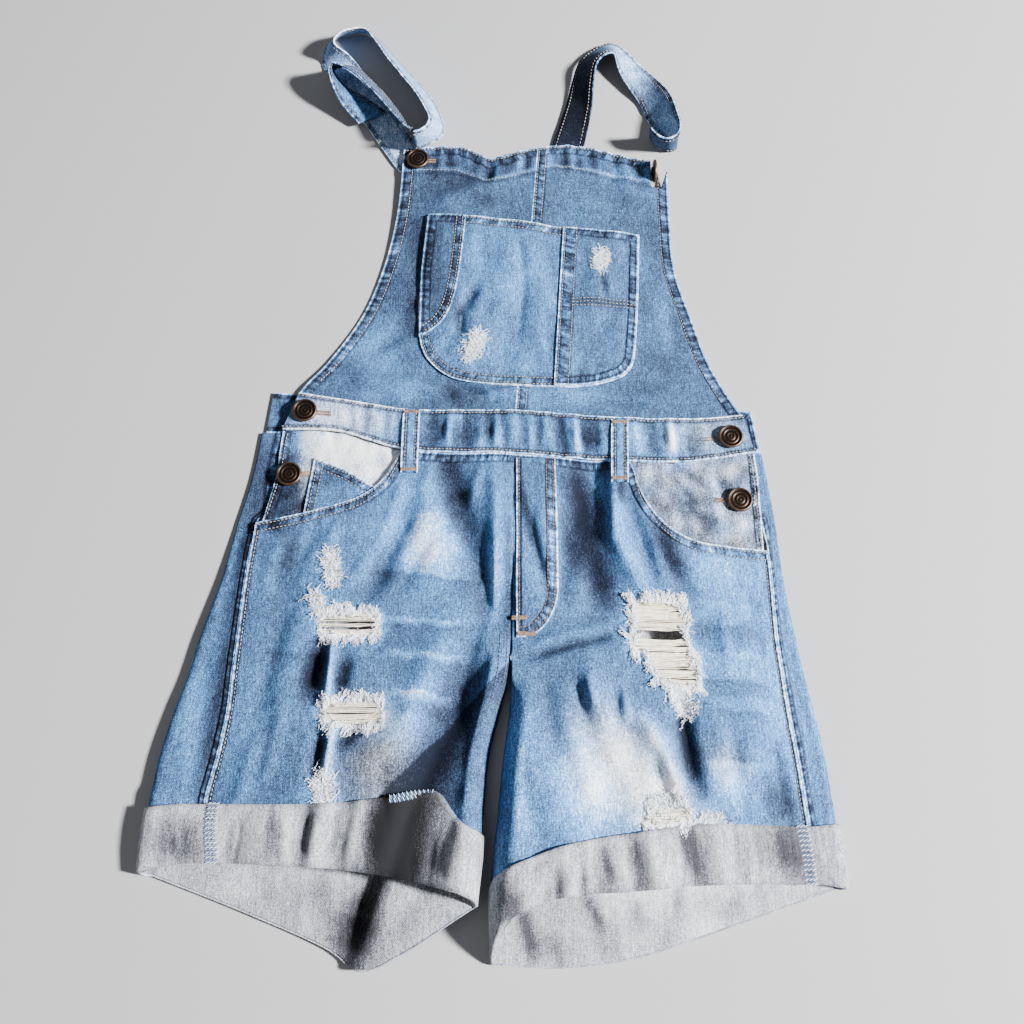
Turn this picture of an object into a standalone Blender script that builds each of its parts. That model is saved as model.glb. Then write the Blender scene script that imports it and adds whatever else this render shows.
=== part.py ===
"""Denim shortalls laid flat, front side up, on a level surface.

All sizes are in millimetres until a mesh is made. +X is to the right and +Y towards the straps, as
seen from above the front, and +Z is up. Left and right mean the sides seen from above. Every table is
measured from the waist: x from the centre front, y from the seam between the bib and the waistband.
"""
import math

import bmesh
import bpy
from mathutils import Matrix, Vector, geometry

for old in list(bpy.data.objects):
    bpy.data.objects.remove(old)

# Driving sizes
MM = 0.001
CLOTH = 1.4
DOUBLE_CLOTH = 2.4
GAP = 0.3
CUFF_HEIGHT = 48.0
CUFF_OFF = 0.7  # the cuff is folded loosely up the leg
STRAP_WIDTH = 32.0
LEFT, RIGHT = "left", "right"
OUTWARD = {LEFT: -1.0, RIGHT: 1.0}

# The middle of the footprint, which is the origin of the part
CENTRE_X = -18.0
CENTRE_Y = -9.3


class Table:
    """Rows of named columns, read at any place along the first column on a smooth curve."""

    def __init__(self, columns, rows):
        self.columns = columns.split()
        self.rows = sorted(rows)

    def at(self, column, place):
        c = self.columns.index(column)
        rows = self.rows
        place = min(max(place, rows[0][0]), rows[-1][0])
        k = max(i for i in range(len(rows) - 1) if rows[i][0] <= place)
        (a0, b0), (a1, b1) = (rows[k][0], rows[k][c]), (rows[k + 1][0], rows[k + 1][c])
        slope = (b1 - b0) / (a1 - a0)
        before = (b0 - rows[k - 1][c]) / (a0 - rows[k - 1][0]) if k else slope
        after = (rows[k + 2][c] - b1) / (rows[k + 2][0] - a1) if k + 2 < len(rows) else slope
        t = (place - a0) / (a1 - a0)
        start = (slope + before) / 2 * (a1 - a0)
        end = (slope + after) / 2 * (a1 - a0)
        return (
            b0 * (1 + 2 * t) * (1 - t) ** 2
            + b1 * t * t * (3 - 2 * t)
            + start * t * (1 - t) ** 2
            - end * t * t * (1 - t)
        )


def ease(t):
    t = min(max(t, 0.0), 1.0)
    return t * t * (3 - 2 * t)


def mix(a, b, t):
    return a + (b - a) * t


# Sections across each half of the body and down its leg. out is the furthest reach of the rolled side,
# roll its height, seam the side seam on top, z_* the height of the top there, inner the centre front or
# the inner leg, rise the height of the inner leg's seam, and crest how far the back's cloth is lifted off
# the surface along a crease at x crease.
HALF = {
    LEFT: Table(
        "y out roll seam z_seam z_mid z_inner inner rise crest crease",
        [
            (25, -222, 3.4, -210, 6.2, 7.5, 9.5, 0, 0, 0, -90),
            (-17, -226, 3.4, -214, 8.6, 9.5, 11, 0, 0, 0, -90),
            (-60, -231, 3.4, -219, 9.8, 13, 14, -1, 0, 0, -90),
            (-103, -240, 3.6, -222, 10, 15.5, 16.5, -2, 0, 0, -90),
            (-150, -248, 7, -226, 10.6, 18, 19, -2, 0, 0, -88),
            (-205, -262, 9, -228, 13, 21, 20, -3, 0, 0, -86),
            (-235, -268, 10, -229, 14, 22, 18, -5, 0, 0, -84),
            (-264, -276, 11, -230, 14, 23, 15, -12, 0, 0, -82),
            (-302, -284, 12, -235, 14, 24, 15, -21, 0, 0, -80),
            (-335, -287, 12, -241, 13.5, 25, 20, -24, 3, 3, -82),
            (-384, -288, 9.5, -238, 12, 27, 31, -27, 15, 11, -92),
            (-410, -286, 8.5, -236, 11, 28, 35, -30, 20, 13, -100),
            (-460, -283, 8, -234, 10, 28, 35, -32, 20, 7, -116),
        ],
    ),
    RIGHT: Table(
        "y out roll seam z_seam z_mid z_inner inner rise crest crease",
        [
            (25, 214, 3.4, 203, 5.8, 7.5, 9.5, 0, 0, 0, 60),
            (-17, 216, 3.4, 205, 6.8, 9, 11, 0, 0, 0, 60),
            (-60, 221, 3.4, 209, 8, 12.5, 14, -1, 0, 0, 60),
            (-103, 225, 3.6, 212, 8.6, 15.5, 16.5, -2, 0, 0, 60),
            (-150, 227, 6.5, 215, 9.6, 19, 19.5, -2, 0, 0, 60),
            (-205, 233, 8, 215, 11, 22, 22, -3, 0, 0, 60),
            (-235, 237, 8.5, 217, 11.5, 24, 24, -3, 0, 0, 60),
            (-264, 242, 9, 219, 12, 25.5, 29, -5, 0, 0, 60),
            (-302, 247, 10, 223, 12, 27, 34, -10, 0, 0, 60),
            (-352, 250, 10, 227, 12, 28, 37, -15, 0, 0, 60),
            (-395, 252, 9, 231, 11, 27, 37, -19, 0, 0, 60),
            (-460, 250, 8, 232, 10, 27, 37, -17, 0, 0, 60),
        ],
    ),
}
ROLL_WIDTH = {LEFT: 9.0, RIGHT: 7.0}
INNER_ROLL = {LEFT: 15.0, RIGHT: 17.0}
FRONT_FLAT = 0.84  # the share of a front's width before the cloth turns down at the inner leg

# The waistband's two edges and the back's top, which slant as the garment lies
WAIST_TOP = Table(
    "x y", [(-196, 20), (-139, 10), (-99, 3), (0, 1), (85, -5), (165, -6), (206, -2)]
)
WAIST_BOTTOM = Table(
    "x y", [(-208, -17), (-156, -19), (-102, -36), (0, -42), (83, -48), (154, -48), (214, -38)]
)
BACK_WAIST = Table("x y", [(-230, -17), (222, -38)])

# Where the fronts end at the buttoned sides
FRONT_ENDS = {
    LEFT: Table("y x", [(20, -194), (-17, -206), (-60, -210), (-103, -220)]),
    RIGHT: Table("y x", [(-2, 203), (-38, 211), (-83, 213.5), (-128, 214)]),
}

# The scooped pocket openings, from the side seam to the waistband
POCKET_EDGE = {
    LEFT: Table("x y", [(-230, -106), (-185, -97), (-151, -88), (-130, -79), (-113, -64), (-99, -37)]),
    RIGHT: Table(
        "x y", [(102, -49), (106, -68), (112, -84), (129, -107), (149, -120), (183, -127), (225, -130)]
    ),
}
POCKET_CORNER = {LEFT: -99.0, RIGHT: 102.0}

# Where the legs end, along the top from the side seam to the inner leg, and underneath from the rolled
# side to the inner leg, and where the turned-up cuff ends on top
HEM_FRONT = {
    LEFT: Table("share y", [(0, -378), (0.25, -380), (0.5, -384), (0.75, -394), (1, -409)]),
    RIGHT: Table("share y", [(0, -394), (0.3, -394), (0.5, -398), (0.75, -405), (0.86, -419), (1, -450)]),
}
HEM_BACK = {
    LEFT: Table("share y", [(0, -388), (0.33, -418), (0.55, -440), (0.66, -455), (0.76, -446), (1, -410)]),
    RIGHT: Table("share y", [(0, -398), (0.22, -417), (0.42, -434), (0.58, -446), (0.8, -453), (1, -451)]),
}
CUFF_TOP = {
    LEFT: Table(
        "share y",
        [(0, -337), (0.45, -336), (0.58, -332), (0.68, -327), (0.76, -329), (0.84, -350), (1, -363)],
    ),
    RIGHT: Table("share y", [(0, -354), (0.3, -352), (0.5, -358), (0.7, -367), (0.86, -383), (1, -401)]),
}

# The bib: its sides, its top edge and its height
BIB_SIDES = Table(
    "y left right",
    [(288, -109, 149), (259, -110, 149), (205, -114, 149), (149, -125, 151),
     (100, -142, 163), (50, -172, 177), (20, -194, 190), (-4, -196, 203)],
)
BIB_TOP = Table(
    "x y", [(-109, 285), (-77, 287), (-54, 286), (-24, 274), (15, 284), (60, 287), (94, 279), (133, 270)]
)
BIB_HEIGHT = Table(
    "y z_left z_mid z_right",
    [(290, 6.6, 8.5, 6), (230, 5, 7.5, 3), (150, 2.4, 7, 2.4),
     (60, 2.8, 7, 2.8), (20, 5.5, 8.2, 5), (-6, 6.8, 9.8, 6.2)],
)
BIB_SEAM_SLANT = 0.078
BIB_CORNER = {"x": 134.0, "y": 256.0, "height": 8.0, "width": 14.0}  # curled up where it is buttoned
BIB_NOTCH = [(133, 270), (132.4, 262), (132.4, 241), (142, 239), (149, 259)]

# Folds: each is a ridge or a trough along a line, with its half width and its height
FOLDS = Table(
    "x0 y0 x1 y1 width height",
    [
        (-18, -50, -12, -175, 11, 5.0),
        (-42, -62, -36, -160, 12, -5.5),
        (-95, -80, -132, -172, 12, -4.0),
        (-150, -130, -180, -240, 22, 3.0),
        (-60, -190, -110, -300, 20, 4.0),
        (-134, -212, -140, -250, 7, 4.0),
        (-158, -215, -164, -245, 12, -5.0),
        (-112, -212, -116, -245, 11, -4.5),
        (-136, -288, -142, -318, 7, 4.0),
        (-155, -285, -158, -312, 10, -4.0),
        (-122, -285, -118, -312, 12, -4.0),
        (-60, -262, -45, -330, 14, -5.0),
        (84, -66, 92, -150, 10, 6.0),
        (70, -78, 74, -168, 14, -6.0),
        (34, -60, 22, -190, 12, 2.5),
        (60, -230, 75, -290, 14, 3.5),
        (98, -268, 142, -338, 11, 5.5),
        (146, -262, 150, -322, 9, -6.0),
        (92, -285, 104, -330, 12, -4.0),
        (180, -150, 190, -300, 16, 3.0),
        (15, -300, 40, -360, 16, 3.0),
    ],
)


def folds(x, y):
    total = 0.0
    for x0, y0, x1, y1, width, height in FOLDS.rows:
        run = (x1 - x0) ** 2 + (y1 - y0) ** 2
        t = ((x - x0) * (x1 - x0) + (y - y0) * (y1 - y0)) / run
        t = min(max(t, 0.0), 1.0)
        away = math.hypot(x - mix(x0, x1, t), y - mix(y0, y1, t))
        total += height * math.exp(-((away / width) ** 2))
    return total


def body_height(side, x, y):
    """The top of the front's cloth at a place, between the side seam and the inner edge."""
    half = HALF[side]
    seam, inner = half.at("seam", y), half.at("inner", y)
    t = min(max((x - seam) / (inner - seam), 0.0), 1.0)
    z_seam, z_mid, z_inner = (half.at(c, y) for c in ("z_seam", "z_mid", "z_inner"))
    arch = z_seam * (1 - t) * (1 - 2 * t) + z_mid * 4 * t * (1 - t) + z_inner * t * (2 * t - 1)
    return arch + folds(x, y) * ease(t / 0.12) * ease(-(y + 20) / 40)


def front_height(x, y):
    return body_height(LEFT if x < HALF[LEFT].at("inner", y) else RIGHT, x, y)


def cuff_lift(side, share, y):
    """How far the turned-up cuff lifts the back's cloth off the surface."""
    return (CLOTH + CUFF_OFF) * ease((HEM_BACK[side].at("y", share) + CUFF_HEIGHT + 20 - y) / 10)


def back_edge(side, y):
    """The height of the back's outer face at the inner leg."""
    return max(HALF[side].at("rise", y), 0.0) + cuff_lift(side, 1.0, y)


def front_edge(side, y):
    """The height of the front's cloth at its inner edge: joined to the other front down to the crotch,
    then to the back's cloth down the leg."""
    return mix(HALF[side].at("z_inner", y), back_edge(side, y) + CLOTH + 3 * GAP, ease((-235 - y) / 29))


def front_point(side, share, y):
    """A point of a front's outer face: share 0 is at the side seam and 1 at the inner edge."""
    half = HALF[side]
    seam, inner = half.at("seam", y), half.at("inner", y)
    turn = inner + OUTWARD[side] * INNER_ROLL[side]
    if share <= FRONT_FLAT:
        x = mix(seam, turn, share / FRONT_FLAT)
        return Vector((x, y, body_height(side, x, y)))
    angle = (share - FRONT_FLAT) / (1 - FRONT_FLAT) * math.pi / 2
    low, high = front_edge(side, y), body_height(side, turn, y)
    return Vector((mix(turn, inner, math.sin(angle)), y, mix(low, high, math.cos(angle))))


def share_of(side, x, y):
    """The share of a front's width at a place, for cutting a rip or laying a piece there."""
    half = HALF[side]
    seam, inner = half.at("seam", y), half.at("inner", y)
    turn = inner + OUTWARD[side] * INNER_ROLL[side]
    flat = (x - seam) / (turn - seam)
    if flat <= 1:
        return flat * FRONT_FLAT
    return mix(FRONT_FLAT, 1, math.asin(min((x - turn) / (inner - turn), 1)) / (math.pi / 2))


TOP_PART, ROLL_PART = 0.14, 0.3  # the back's shares that lie on top, and that roll round the side
PLACKET_LAP = 15.0  # how far the back reaches under the front where they button


def back_point(side, share, y):
    """A point of a back's outer face, from the side seam round the rolled side to the inner edge."""
    half, out = HALF[side], OUTWARD[side]
    wide, roll = ROLL_WIDTH[side], half.at("roll", y)
    wide = min(wide, roll * 0.9)
    axis = half.at("out", y) - out * wide
    seam = half.at("seam", y) + out * 3 * GAP - out * PLACKET_LAP * ease((y + 101) / 13)
    under = (share - ROLL_PART) / (1 - ROLL_PART)
    low = cuff_lift(side, max(under, 0.0), y)
    if share <= TOP_PART:
        t = share / TOP_PART
        x = mix(seam, axis, t)
        side_top = half.at("z_seam", y) if y < -103 else roll
        side_top = mix(roll, side_top, ease((-103 - y) / 25))
        return Vector((x, y, mix(side_top, roll + low, ease(t))))
    if share <= ROLL_PART:
        angle = (share - TOP_PART) / (ROLL_PART - TOP_PART) * math.pi
        return Vector((axis + out * wide * math.sin(angle), y, low + roll * (1 + math.cos(angle)) / 2))
    inner = half.at("inner", y) + out * (0.4 if y < -264 else GAP / 2)
    x = mix(axis, inner, under)
    if side == RIGHT or y > -302:
        return Vector((x, y, low))
    crest, crease = max(half.at("crest", y), 0.0), half.at("crease", y)
    past = min(max((x - crease) / (inner - crease), 0.0), 1.0)
    lift = mix(crest, max(half.at("rise", y), 0.0), past) * ease((x - crease + 18) / 18)
    return Vector((x, y, low + lift))


def bib_height(x, y):
    left, right = BIB_SIDES.at("left", y), BIB_SIDES.at("right", y)
    t = min(max((x - left) / (right - left), 0.0), 1.0)
    middle = ease(min(t, 1 - t) / 0.3)
    side = mix(BIB_HEIGHT.at("z_left", y), BIB_HEIGHT.at("z_right", y), t)
    away = math.hypot(x - BIB_CORNER["x"], y - BIB_CORNER["y"]) / BIB_CORNER["width"]
    return mix(side, BIB_HEIGHT.at("z_mid", y), middle) + BIB_CORNER["height"] * math.exp(-away * away)


# Meshes
def material(name, colour, roughness, metallic=0.0):
    made = bpy.data.materials.new(name)
    made.use_nodes = True
    shader = made.node_tree.nodes["Principled BSDF"]
    shader.inputs["Base Color"].default_value = (*colour, 1)
    shader.inputs["Roughness"].default_value = roughness
    shader.inputs["Metallic"].default_value = metallic
    made.diffuse_color = (*colour, 1)
    return made


DENIM = material("denim", (0.36, 0.52, 0.72), 0.9)
PALE_DENIM = material("pale_denim", (0.72, 0.74, 0.76), 0.9)
DENIM_WRONG_SIDE = material("denim_wrong_side", (0.62, 0.61, 0.62), 0.92)
STRAP_DENIM = material("strap_denim", (0.45, 0.6, 0.78), 0.9)
BRONZE = material("antique_bronze", (0.13, 0.075, 0.045), 0.45, 0.9)


def finish(name, bm, stuff):
    """Places a mesh measured from the waist into the part's frame and makes it an object."""
    bmesh.ops.transform(bm, matrix=Matrix.Translation((-CENTRE_X, -CENTRE_Y, 0)), verts=bm.verts)
    bmesh.ops.scale(bm, vec=(MM, MM, MM), verts=bm.verts)
    mesh = bpy.data.meshes.new(name)
    bm.to_mesh(mesh)
    bm.free()
    mesh.materials.append(stuff)
    mesh.shade_smooth()
    mesh.set_sharp_from_angle(angle=math.radians(50))
    obj = bpy.data.objects.new(name, mesh)
    bpy.context.collection.objects.link(obj)
    return obj


def normal_of(place, u, v, step=1.0):
    """The outward direction of a surface given as place(u, v), by small steps along each."""
    along = place(u + step, v) - place(u - step, v)
    across = place(u, v + step) - place(u, v - step)
    return along.cross(across).normalized()


def walls(bm, outer, inner, faces):
    """Joins an outer and an inner skin of the same triangles into one closed wall."""
    edges = {}
    for face in faces:
        bm.faces.new([outer[i] for i in face])
        bm.faces.new([inner[i] for i in reversed(face)])
        for a, b in zip(face, face[1:] + face[:1]):
            edges[(a, b)] = True
    for a, b in edges:
        if (b, a) not in edges:
            bm.faces.new((outer[b], outer[a], inner[a], inner[b]))


def inside(point, loop):
    """Whether a flat point is within a closed loop of points."""
    found = False
    for (x0, y0), (x1, y1) in zip(loop, loop[1:] + loop[:1]):
        if (y0 > point[1]) != (y1 > point[1]) and point[0] < x0 + (point[1] - y0) * (x1 - x0) / (y1 - y0):
            found = not found
    return found


def fill(loops, cell, fixed=(), bare=lambda p: False):
    """Flat points cell apart within the first loop, but for where it is bare, and the fixed points, all
    joined in triangles that keep to every loop."""
    points = [Vector(p) for loop in loops for p in loop]
    edges, start = [], 0
    for loop in loops:
        edges += [(start + i, start + (i + 1) % len(loop)) for i in range(len(loop))]
        start += len(loop)
    points += [Vector(p) for p in fixed]
    rim = list(points)
    low_u, high_u = min(p[0] for p in loops[0]), max(p[0] for p in loops[0])
    low_v, high_v = min(p[1] for p in loops[0]), max(p[1] for p in loops[0])
    across, down = (max(2, round((b - a) / cell)) for a, b in ((low_u, high_u), (low_v, high_v)))
    for i in range(1, across):
        for j in range(1, down):
            u = mix(low_u, high_u, (i + (j % 2) * 0.5 - 0.25) / across)
            p = Vector((u, mix(low_v, high_v, j / down)))
            if min((p - q).length for q in rim) > cell * 0.55 and not bare(p):
                points.append(p)
    flat, _, faces, *_ = geometry.delaunay_2d_cdt(points, edges, [], 1, 1e-5)
    return flat, [list(f) for f in faces]


def solid(name, spots, ups, faces, low, high, stuff):
    """A closed wall over some of a panel's triangles, from low to high above its points."""
    bm = bmesh.new()
    used = sorted({i for face in faces for i in face})
    outer = {i: bm.verts.new(spots[i] + ups[i] * high) for i in used}
    inner = {i: bm.verts.new(spots[i] + ups[i] * low) for i in used}
    walls(bm, outer, inner, faces)
    bmesh.ops.triangulate(bm, faces=bm.faces)
    return finish(name, bm, stuff)


def panel(name, outline, place, thick, cell, stuff, holes=(), patch=None, fixed=(), bare=lambda p: False):
    """A cut panel: its flat outline less its holes, laid on place. A patch is a piece sewn on it, given
    as its name, outline, thickness and material, and is made from the panel's own points."""
    loops = [outline, *holes] + ([patch[1]] if patch else [])
    flat, faces = fill(loops, cell, fixed, bare)
    middle = {tuple(f): sum((flat[i] for i in f), Vector((0, 0))) / 3 for f in faces}
    faces = [f for f in faces if not any(inside(middle[tuple(f)], hole) for hole in holes)]
    spots = [place(*p) for p in flat]
    ups = [normal_of(place, *p) for p in flat]
    solid(name, spots, ups, faces, -thick, 0.0, stuff)
    if patch:
        sewn = [f for f in faces if inside(middle[tuple(f)], patch[1])]
        solid(patch[0], spots, ups, sewn, GAP, GAP + patch[2], patch[3])


def grid(name, place, us, vs, thick, stuff, inward):
    """A panel over a grid of u and v values, for cloth that turns round an edge. inward is 1 where the
    outside is on the side that u and v turn to, else -1."""
    bm = bmesh.new()
    outer, inner = [], []
    for v in vs:
        for u in us:
            spot = place(u, v)
            step_u = 0.004 if u + 0.004 <= us[-1] else -0.004
            step_v = 0.01 if v + 0.01 <= vs[-1] else -0.01
            along = (place(u + step_u, v) - spot) * (1 if step_u > 0 else -1)
            down = (place(u, v + step_v) - spot) * (1 if step_v > 0 else -1)
            up = along.cross(down).normalized() * inward
            outer.append(bm.verts.new(spot))
            inner.append(bm.verts.new(spot - up * thick))
    n = len(us)
    faces = []
    for j in range(len(vs) - 1):
        for i in range(n - 1):
            quad = [j * n + i, j * n + i + 1, (j + 1) * n + i + 1, (j + 1) * n + i]
            faces.append(quad if inward > 0 else quad[::-1])
    walls(bm, outer, inner, faces)
    bmesh.ops.triangulate(bm, faces=bm.faces)
    return finish(name, bm, stuff)


def sampled(line, count):
    """Points along a line given as a function of 0 to 1, without its last point."""
    return [line(i / count) for i in range(count)]


def outline_of(sides, cell):
    """A closed outline from its sides in order, each a function of 0 to 1, sampled cell apart."""
    points = []
    for line in sides:
        length = sum(math.dist(line(i / 20), line((i + 1) / 20)) for i in range(20))
        points += sampled(line, max(2, round(length / cell)))
    return points


# Backs, laid on the surface, each rolled round its side up to the side seam on top. In the hem zone their
# rows follow the cuff, the first of them a little above its edge.
BACK_COLUMNS = [0, 0.07, TOP_PART, 0.18, 0.22, 0.26, ROLL_PART, 0.4, 0.52, 0.63, 0.73, 0.79, 0.84, 0.92, 1]
HEM_ZONE = 70.0
ABOVE_CUFF = 59.0
BACK_ROWS = [0, 0.08, 0.16, 0.22, 0.28, 0.36, 0.46, 0.56, 0.66, 0.76, 0.84, 0.92, 1]
BACK_ROWS += [2 - reach / HEM_ZONE for reach in (ABOVE_CUFF, CUFF_HEIGHT, CUFF_HEIGHT / 2, 0)]


def back_on(side):
    """The back as share across and down: 0 to 1 down to the hem zone and 1 to 2 down the zone."""

    def place(share, down):
        under = min(max((share - ROLL_PART) / (1 - ROLL_PART), 0.0), 1.0)
        hem = HEM_BACK[side].at("y", under)
        if share < ROLL_PART:
            hem = mix(HEM_FRONT[side].at("y", 0.0), hem, ease(share / ROLL_PART))
        top = BACK_WAIST.at("y", back_point(side, share, -30).x) - 2 * GAP
        if down <= 1:
            return back_point(side, share, mix(top, hem + HEM_ZONE, down))
        return back_point(side, share, hem + HEM_ZONE * (2 - down))

    return place


for side in (LEFT, RIGHT):
    grid(f"back_{side}", back_on(side), BACK_COLUMNS, BACK_ROWS, CLOTH, DENIM, -OUTWARD[side])


# Fronts, from the side seam to the centre front and the inner leg, with the rips cut through
FRONT_SPREAD = 250.0  # the width at which a front is cut flat
RIPS = {
    LEFT: [
        [(-160, -190), (-146, -187), (-126, -188), (-113, -189),
         (-112, -202), (-128, -205), (-150, -204), (-160, -201)],
        [(-152, -261), (-130, -259), (-107, -260), (-105, -273), (-124, -276), (-146, -275), (-153, -270)],
    ],
    RIGHT: [
        [(94, -178), (116, -176), (138, -179), (139, -212), (147, -222), (147, -246), (128, -248),
         (112, -238), (108, -221), (95, -217)],
        [(96, -350), (108, -341), (128, -340), (134, -348), (120, -352), (106, -354)],
    ],
}


def front_on(side):
    return lambda u, v: front_point(side, min(max(u / FRONT_SPREAD, 0.0), 1.0), v)


def front_top(side, share):
    """Where a front's upper edge lies: along the pocket opening, then along the waistband."""
    y = -60.0
    for _ in range(8):
        x = front_point(side, share, y).x
        outside = x < POCKET_CORNER[LEFT] if side == LEFT else x > POCKET_CORNER[RIGHT]
        y = POCKET_EDGE[side].at("y", x) if outside else WAIST_BOTTOM.at("y", x) - 2 * GAP
    return y


# The shares across a front's hem at which its points and the cuff's stations lie
HEM_SHARES = [0.0, 0.08, 0.2, 0.32, 0.44, 0.54, 0.62, 0.68, 0.74, 0.79, FRONT_FLAT, 0.88, 0.92, 0.96, 1.0]


def cut_front(side, cell):
    """A front's outline, its rips, and the points that it shares with the cuff."""
    top = lambda t: (t * FRONT_SPREAD, front_top(side, t))
    hem_y = lambda share: HEM_FRONT[side].at("y", share)
    inner = lambda t: (FRONT_SPREAD, mix(front_top(side, 1), hem_y(1) + HEM_ZONE, t))
    outer = lambda t: (0.0, mix(hem_y(0) + HEM_ZONE, front_top(side, 0), t))
    level = lambda share, up: (share * FRONT_SPREAD, mix(hem_y(share), CUFF_TOP[side].at("y", share), up))
    loop = outline_of([top, inner], cell)
    loop += [(FRONT_SPREAD, hem_y(1) + reach) for reach in (HEM_ZONE, ABOVE_CUFF)]
    loop += [level(1, up) for up in (1, 0.5)]
    loop += [level(share, 0) for share in HEM_SHARES[::-1]]
    loop += [level(0, up) for up in (0.5, 1)] + outline_of([outer], cell)
    fixed = [level(share, up) for share in HEM_SHARES[1:-1] for up in (0.5, 1)]
    rips = [[(share_of(side, x, y) * FRONT_SPREAD, y) for x, y in rip] for rip in RIPS[side]]
    return loop, rips, fixed


def kept_off(place, side):
    """The front of a side moved half the seam gap off the centre line."""
    shift = Vector((OUTWARD[side] * GAP / 2, 0, 0))
    return lambda u, v: place(u, v) + shift


# The fly, a double strip stitched in a curve down the centre of the right front
FLY_LEFT, FLY_RIGHT, FLY_TOP, FLY_END, FLY_CORNER = 1.0, 35.0, -47.0, -207.0, 30.0
FLY_THICK = 1.2


def fly_loop():
    turn_x, turn_y = FLY_RIGHT - FLY_CORNER, FLY_END + FLY_CORNER * 1.4
    sides = [
        lambda t: (mix(FLY_LEFT, FLY_RIGHT, t), FLY_TOP),
        lambda t: (FLY_RIGHT, mix(FLY_TOP, turn_y, t)),
        lambda t: (
            turn_x + FLY_CORNER * math.cos(t * math.pi / 2),
            FLY_END + FLY_CORNER * 1.4 * (1 - math.sin(t * math.pi / 2)),
        ),
        lambda t: (mix(turn_x, FLY_LEFT, t), FLY_END),
        lambda t: (FLY_LEFT, mix(FLY_END, FLY_TOP, t)),
    ]
    return outline_of(sides, 15.0)


for side in (LEFT, RIGHT):
    loop, rips, fixed = cut_front(side, 15.0)
    if side == LEFT:
        under_cuff = lambda p: p.y < CUFF_TOP[LEFT].at("y", p.x / FRONT_SPREAD) + 6
        panel("front_left", loop[::-1], kept_off(front_on(side), side), CLOTH, 16.0, DENIM,
              rips, None, fixed, under_cuff)
    else:
        under_cuff = lambda p: p.y < CUFF_TOP[RIGHT].at("y", 1 - p.x / FRONT_SPREAD) + 6
        flip = lambda u, v: front_on(RIGHT)(FRONT_SPREAD - u, v)
        turned = lambda points: [(FRONT_SPREAD - u, v) for u, v in points]
        fly = [((1 - share_of(RIGHT, x, y)) * FRONT_SPREAD, y) for x, y in fly_loop()]
        panel("front_right", turned(loop), kept_off(flip, side), CLOTH, 16.0, DENIM,
              [turned(rip) for rip in rips], ("fly", fly, FLY_THICK, DENIM), turned(fixed), under_cuff)


# Hip pieces behind the pocket openings, which button over the back at the sides. Each lies a drop below
# the front's outer face, reaches a tuck below the pocket's edge and a lap past the waistband's corner.
HIP_DROP = {LEFT: 2 * CLOTH + 0.8, RIGHT: CLOTH + 0.6}
HIP_TUCK = 9.0
HIP_LAP = 6.0
HIP_TAPER = 2.5
HIP_FOOT = 2.0


def hip_on(side):
    drop = HIP_DROP[side]
    return lambda x, y: Vector((x, y, front_height(x, y) - drop))


for side in (LEFT, RIGHT):
    corner = POCKET_CORNER[side] - OUTWARD[side] * HIP_LAP
    outer_top = FRONT_ENDS[side].at("x", WAIST_BOTTOM.at("y", FRONT_ENDS[side].rows[0][1]) - GAP)
    low_y = POCKET_EDGE[side].at("y", FRONT_ENDS[side].rows[0][1]) - HIP_FOOT
    outer_low = FRONT_ENDS[side].at("x", low_y) - OUTWARD[side] * HIP_TAPER
    top_y = lambda x: WAIST_BOTTOM.at("y", x) - GAP
    low = lambda x: POCKET_EDGE[side].at("y", x) - HIP_TUCK
    across = lambda t: (mix(outer_top, corner, t), top_y(mix(outer_top, corner, t)))
    inner = lambda t: (corner, mix(top_y(corner), low(corner), t))
    under = lambda t: (mix(corner, outer_low, t), low(mix(corner, outer_low, t)))
    start_low = low(outer_low)
    end = lambda t: (
        FRONT_ENDS[side].at("x", mix(start_low, top_y(outer_top), t)) - OUTWARD[side] * HIP_TAPER * (1 - t),
        mix(start_low, top_y(outer_top), t),
    )
    loop = outline_of([across, inner, under, end], 13.0)
    if side == LEFT:
        loop = loop[::-1]
    panel(f"hip_{side}", loop, hip_on(side), CLOTH, 13.0, PALE_DENIM)


# The coin pocket on the left hip piece, whose lower part lies behind the pocket opening
def polyline(corners):
    return [lambda t, a=a, b=b: (mix(a[0], b[0], t), mix(a[1], b[1], t))
            for a, b in zip(corners, corners[1:] + corners[:1])]


COIN_CORNERS = [(-176, -44), (-149, -56), (-121, -73), (-117, -82), (-150, -98), (-183, -106)]
COIN_OFF = 0.4
panel("coin_pocket", outline_of(polyline(COIN_CORNERS), 13.0)[::-1],
      lambda x, y: Vector((x, y, front_height(x, y) - CLOTH - COIN_OFF)), CLOTH, 13.0, DENIM)


# Waistbands, of doubled cloth: the front one shows, and the back one lies under it on the surface
BAND_RAISE = 0.8


def band_outline(left, right, cell):
    top = lambda t: (mix(left[0], right[0], t), WAIST_TOP.at("y", mix(left[0], right[0], t)))
    low = lambda t: (mix(right[1], left[1], t), WAIST_BOTTOM.at("y", mix(right[1], left[1], t)))
    join = lambda a, b: (lambda t: (mix(a[0], b[0], t), mix(a[1], b[1], t)))
    return outline_of([top, join(top(1), low(0)), low, join(low(1), top(0))], cell)[::-1]


panel("waistband_front", band_outline((-194, -206), (203, 211), 11.0),
      lambda x, y: Vector((x, y, front_height(x, y) + BAND_RAISE)), DOUBLE_CLOTH, 11.0, DENIM)
BACK_BAND = [(-218, 22), (-120, 12), (212, 3), (217, -37.6), (-222, -17.4)]
panel("waistband_back", outline_of(polyline(BACK_BAND), 26.0)[::-1],
      lambda x, y: Vector((x, y, DOUBLE_CLOTH)), DOUBLE_CLOTH, 26.0, DENIM)

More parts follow.
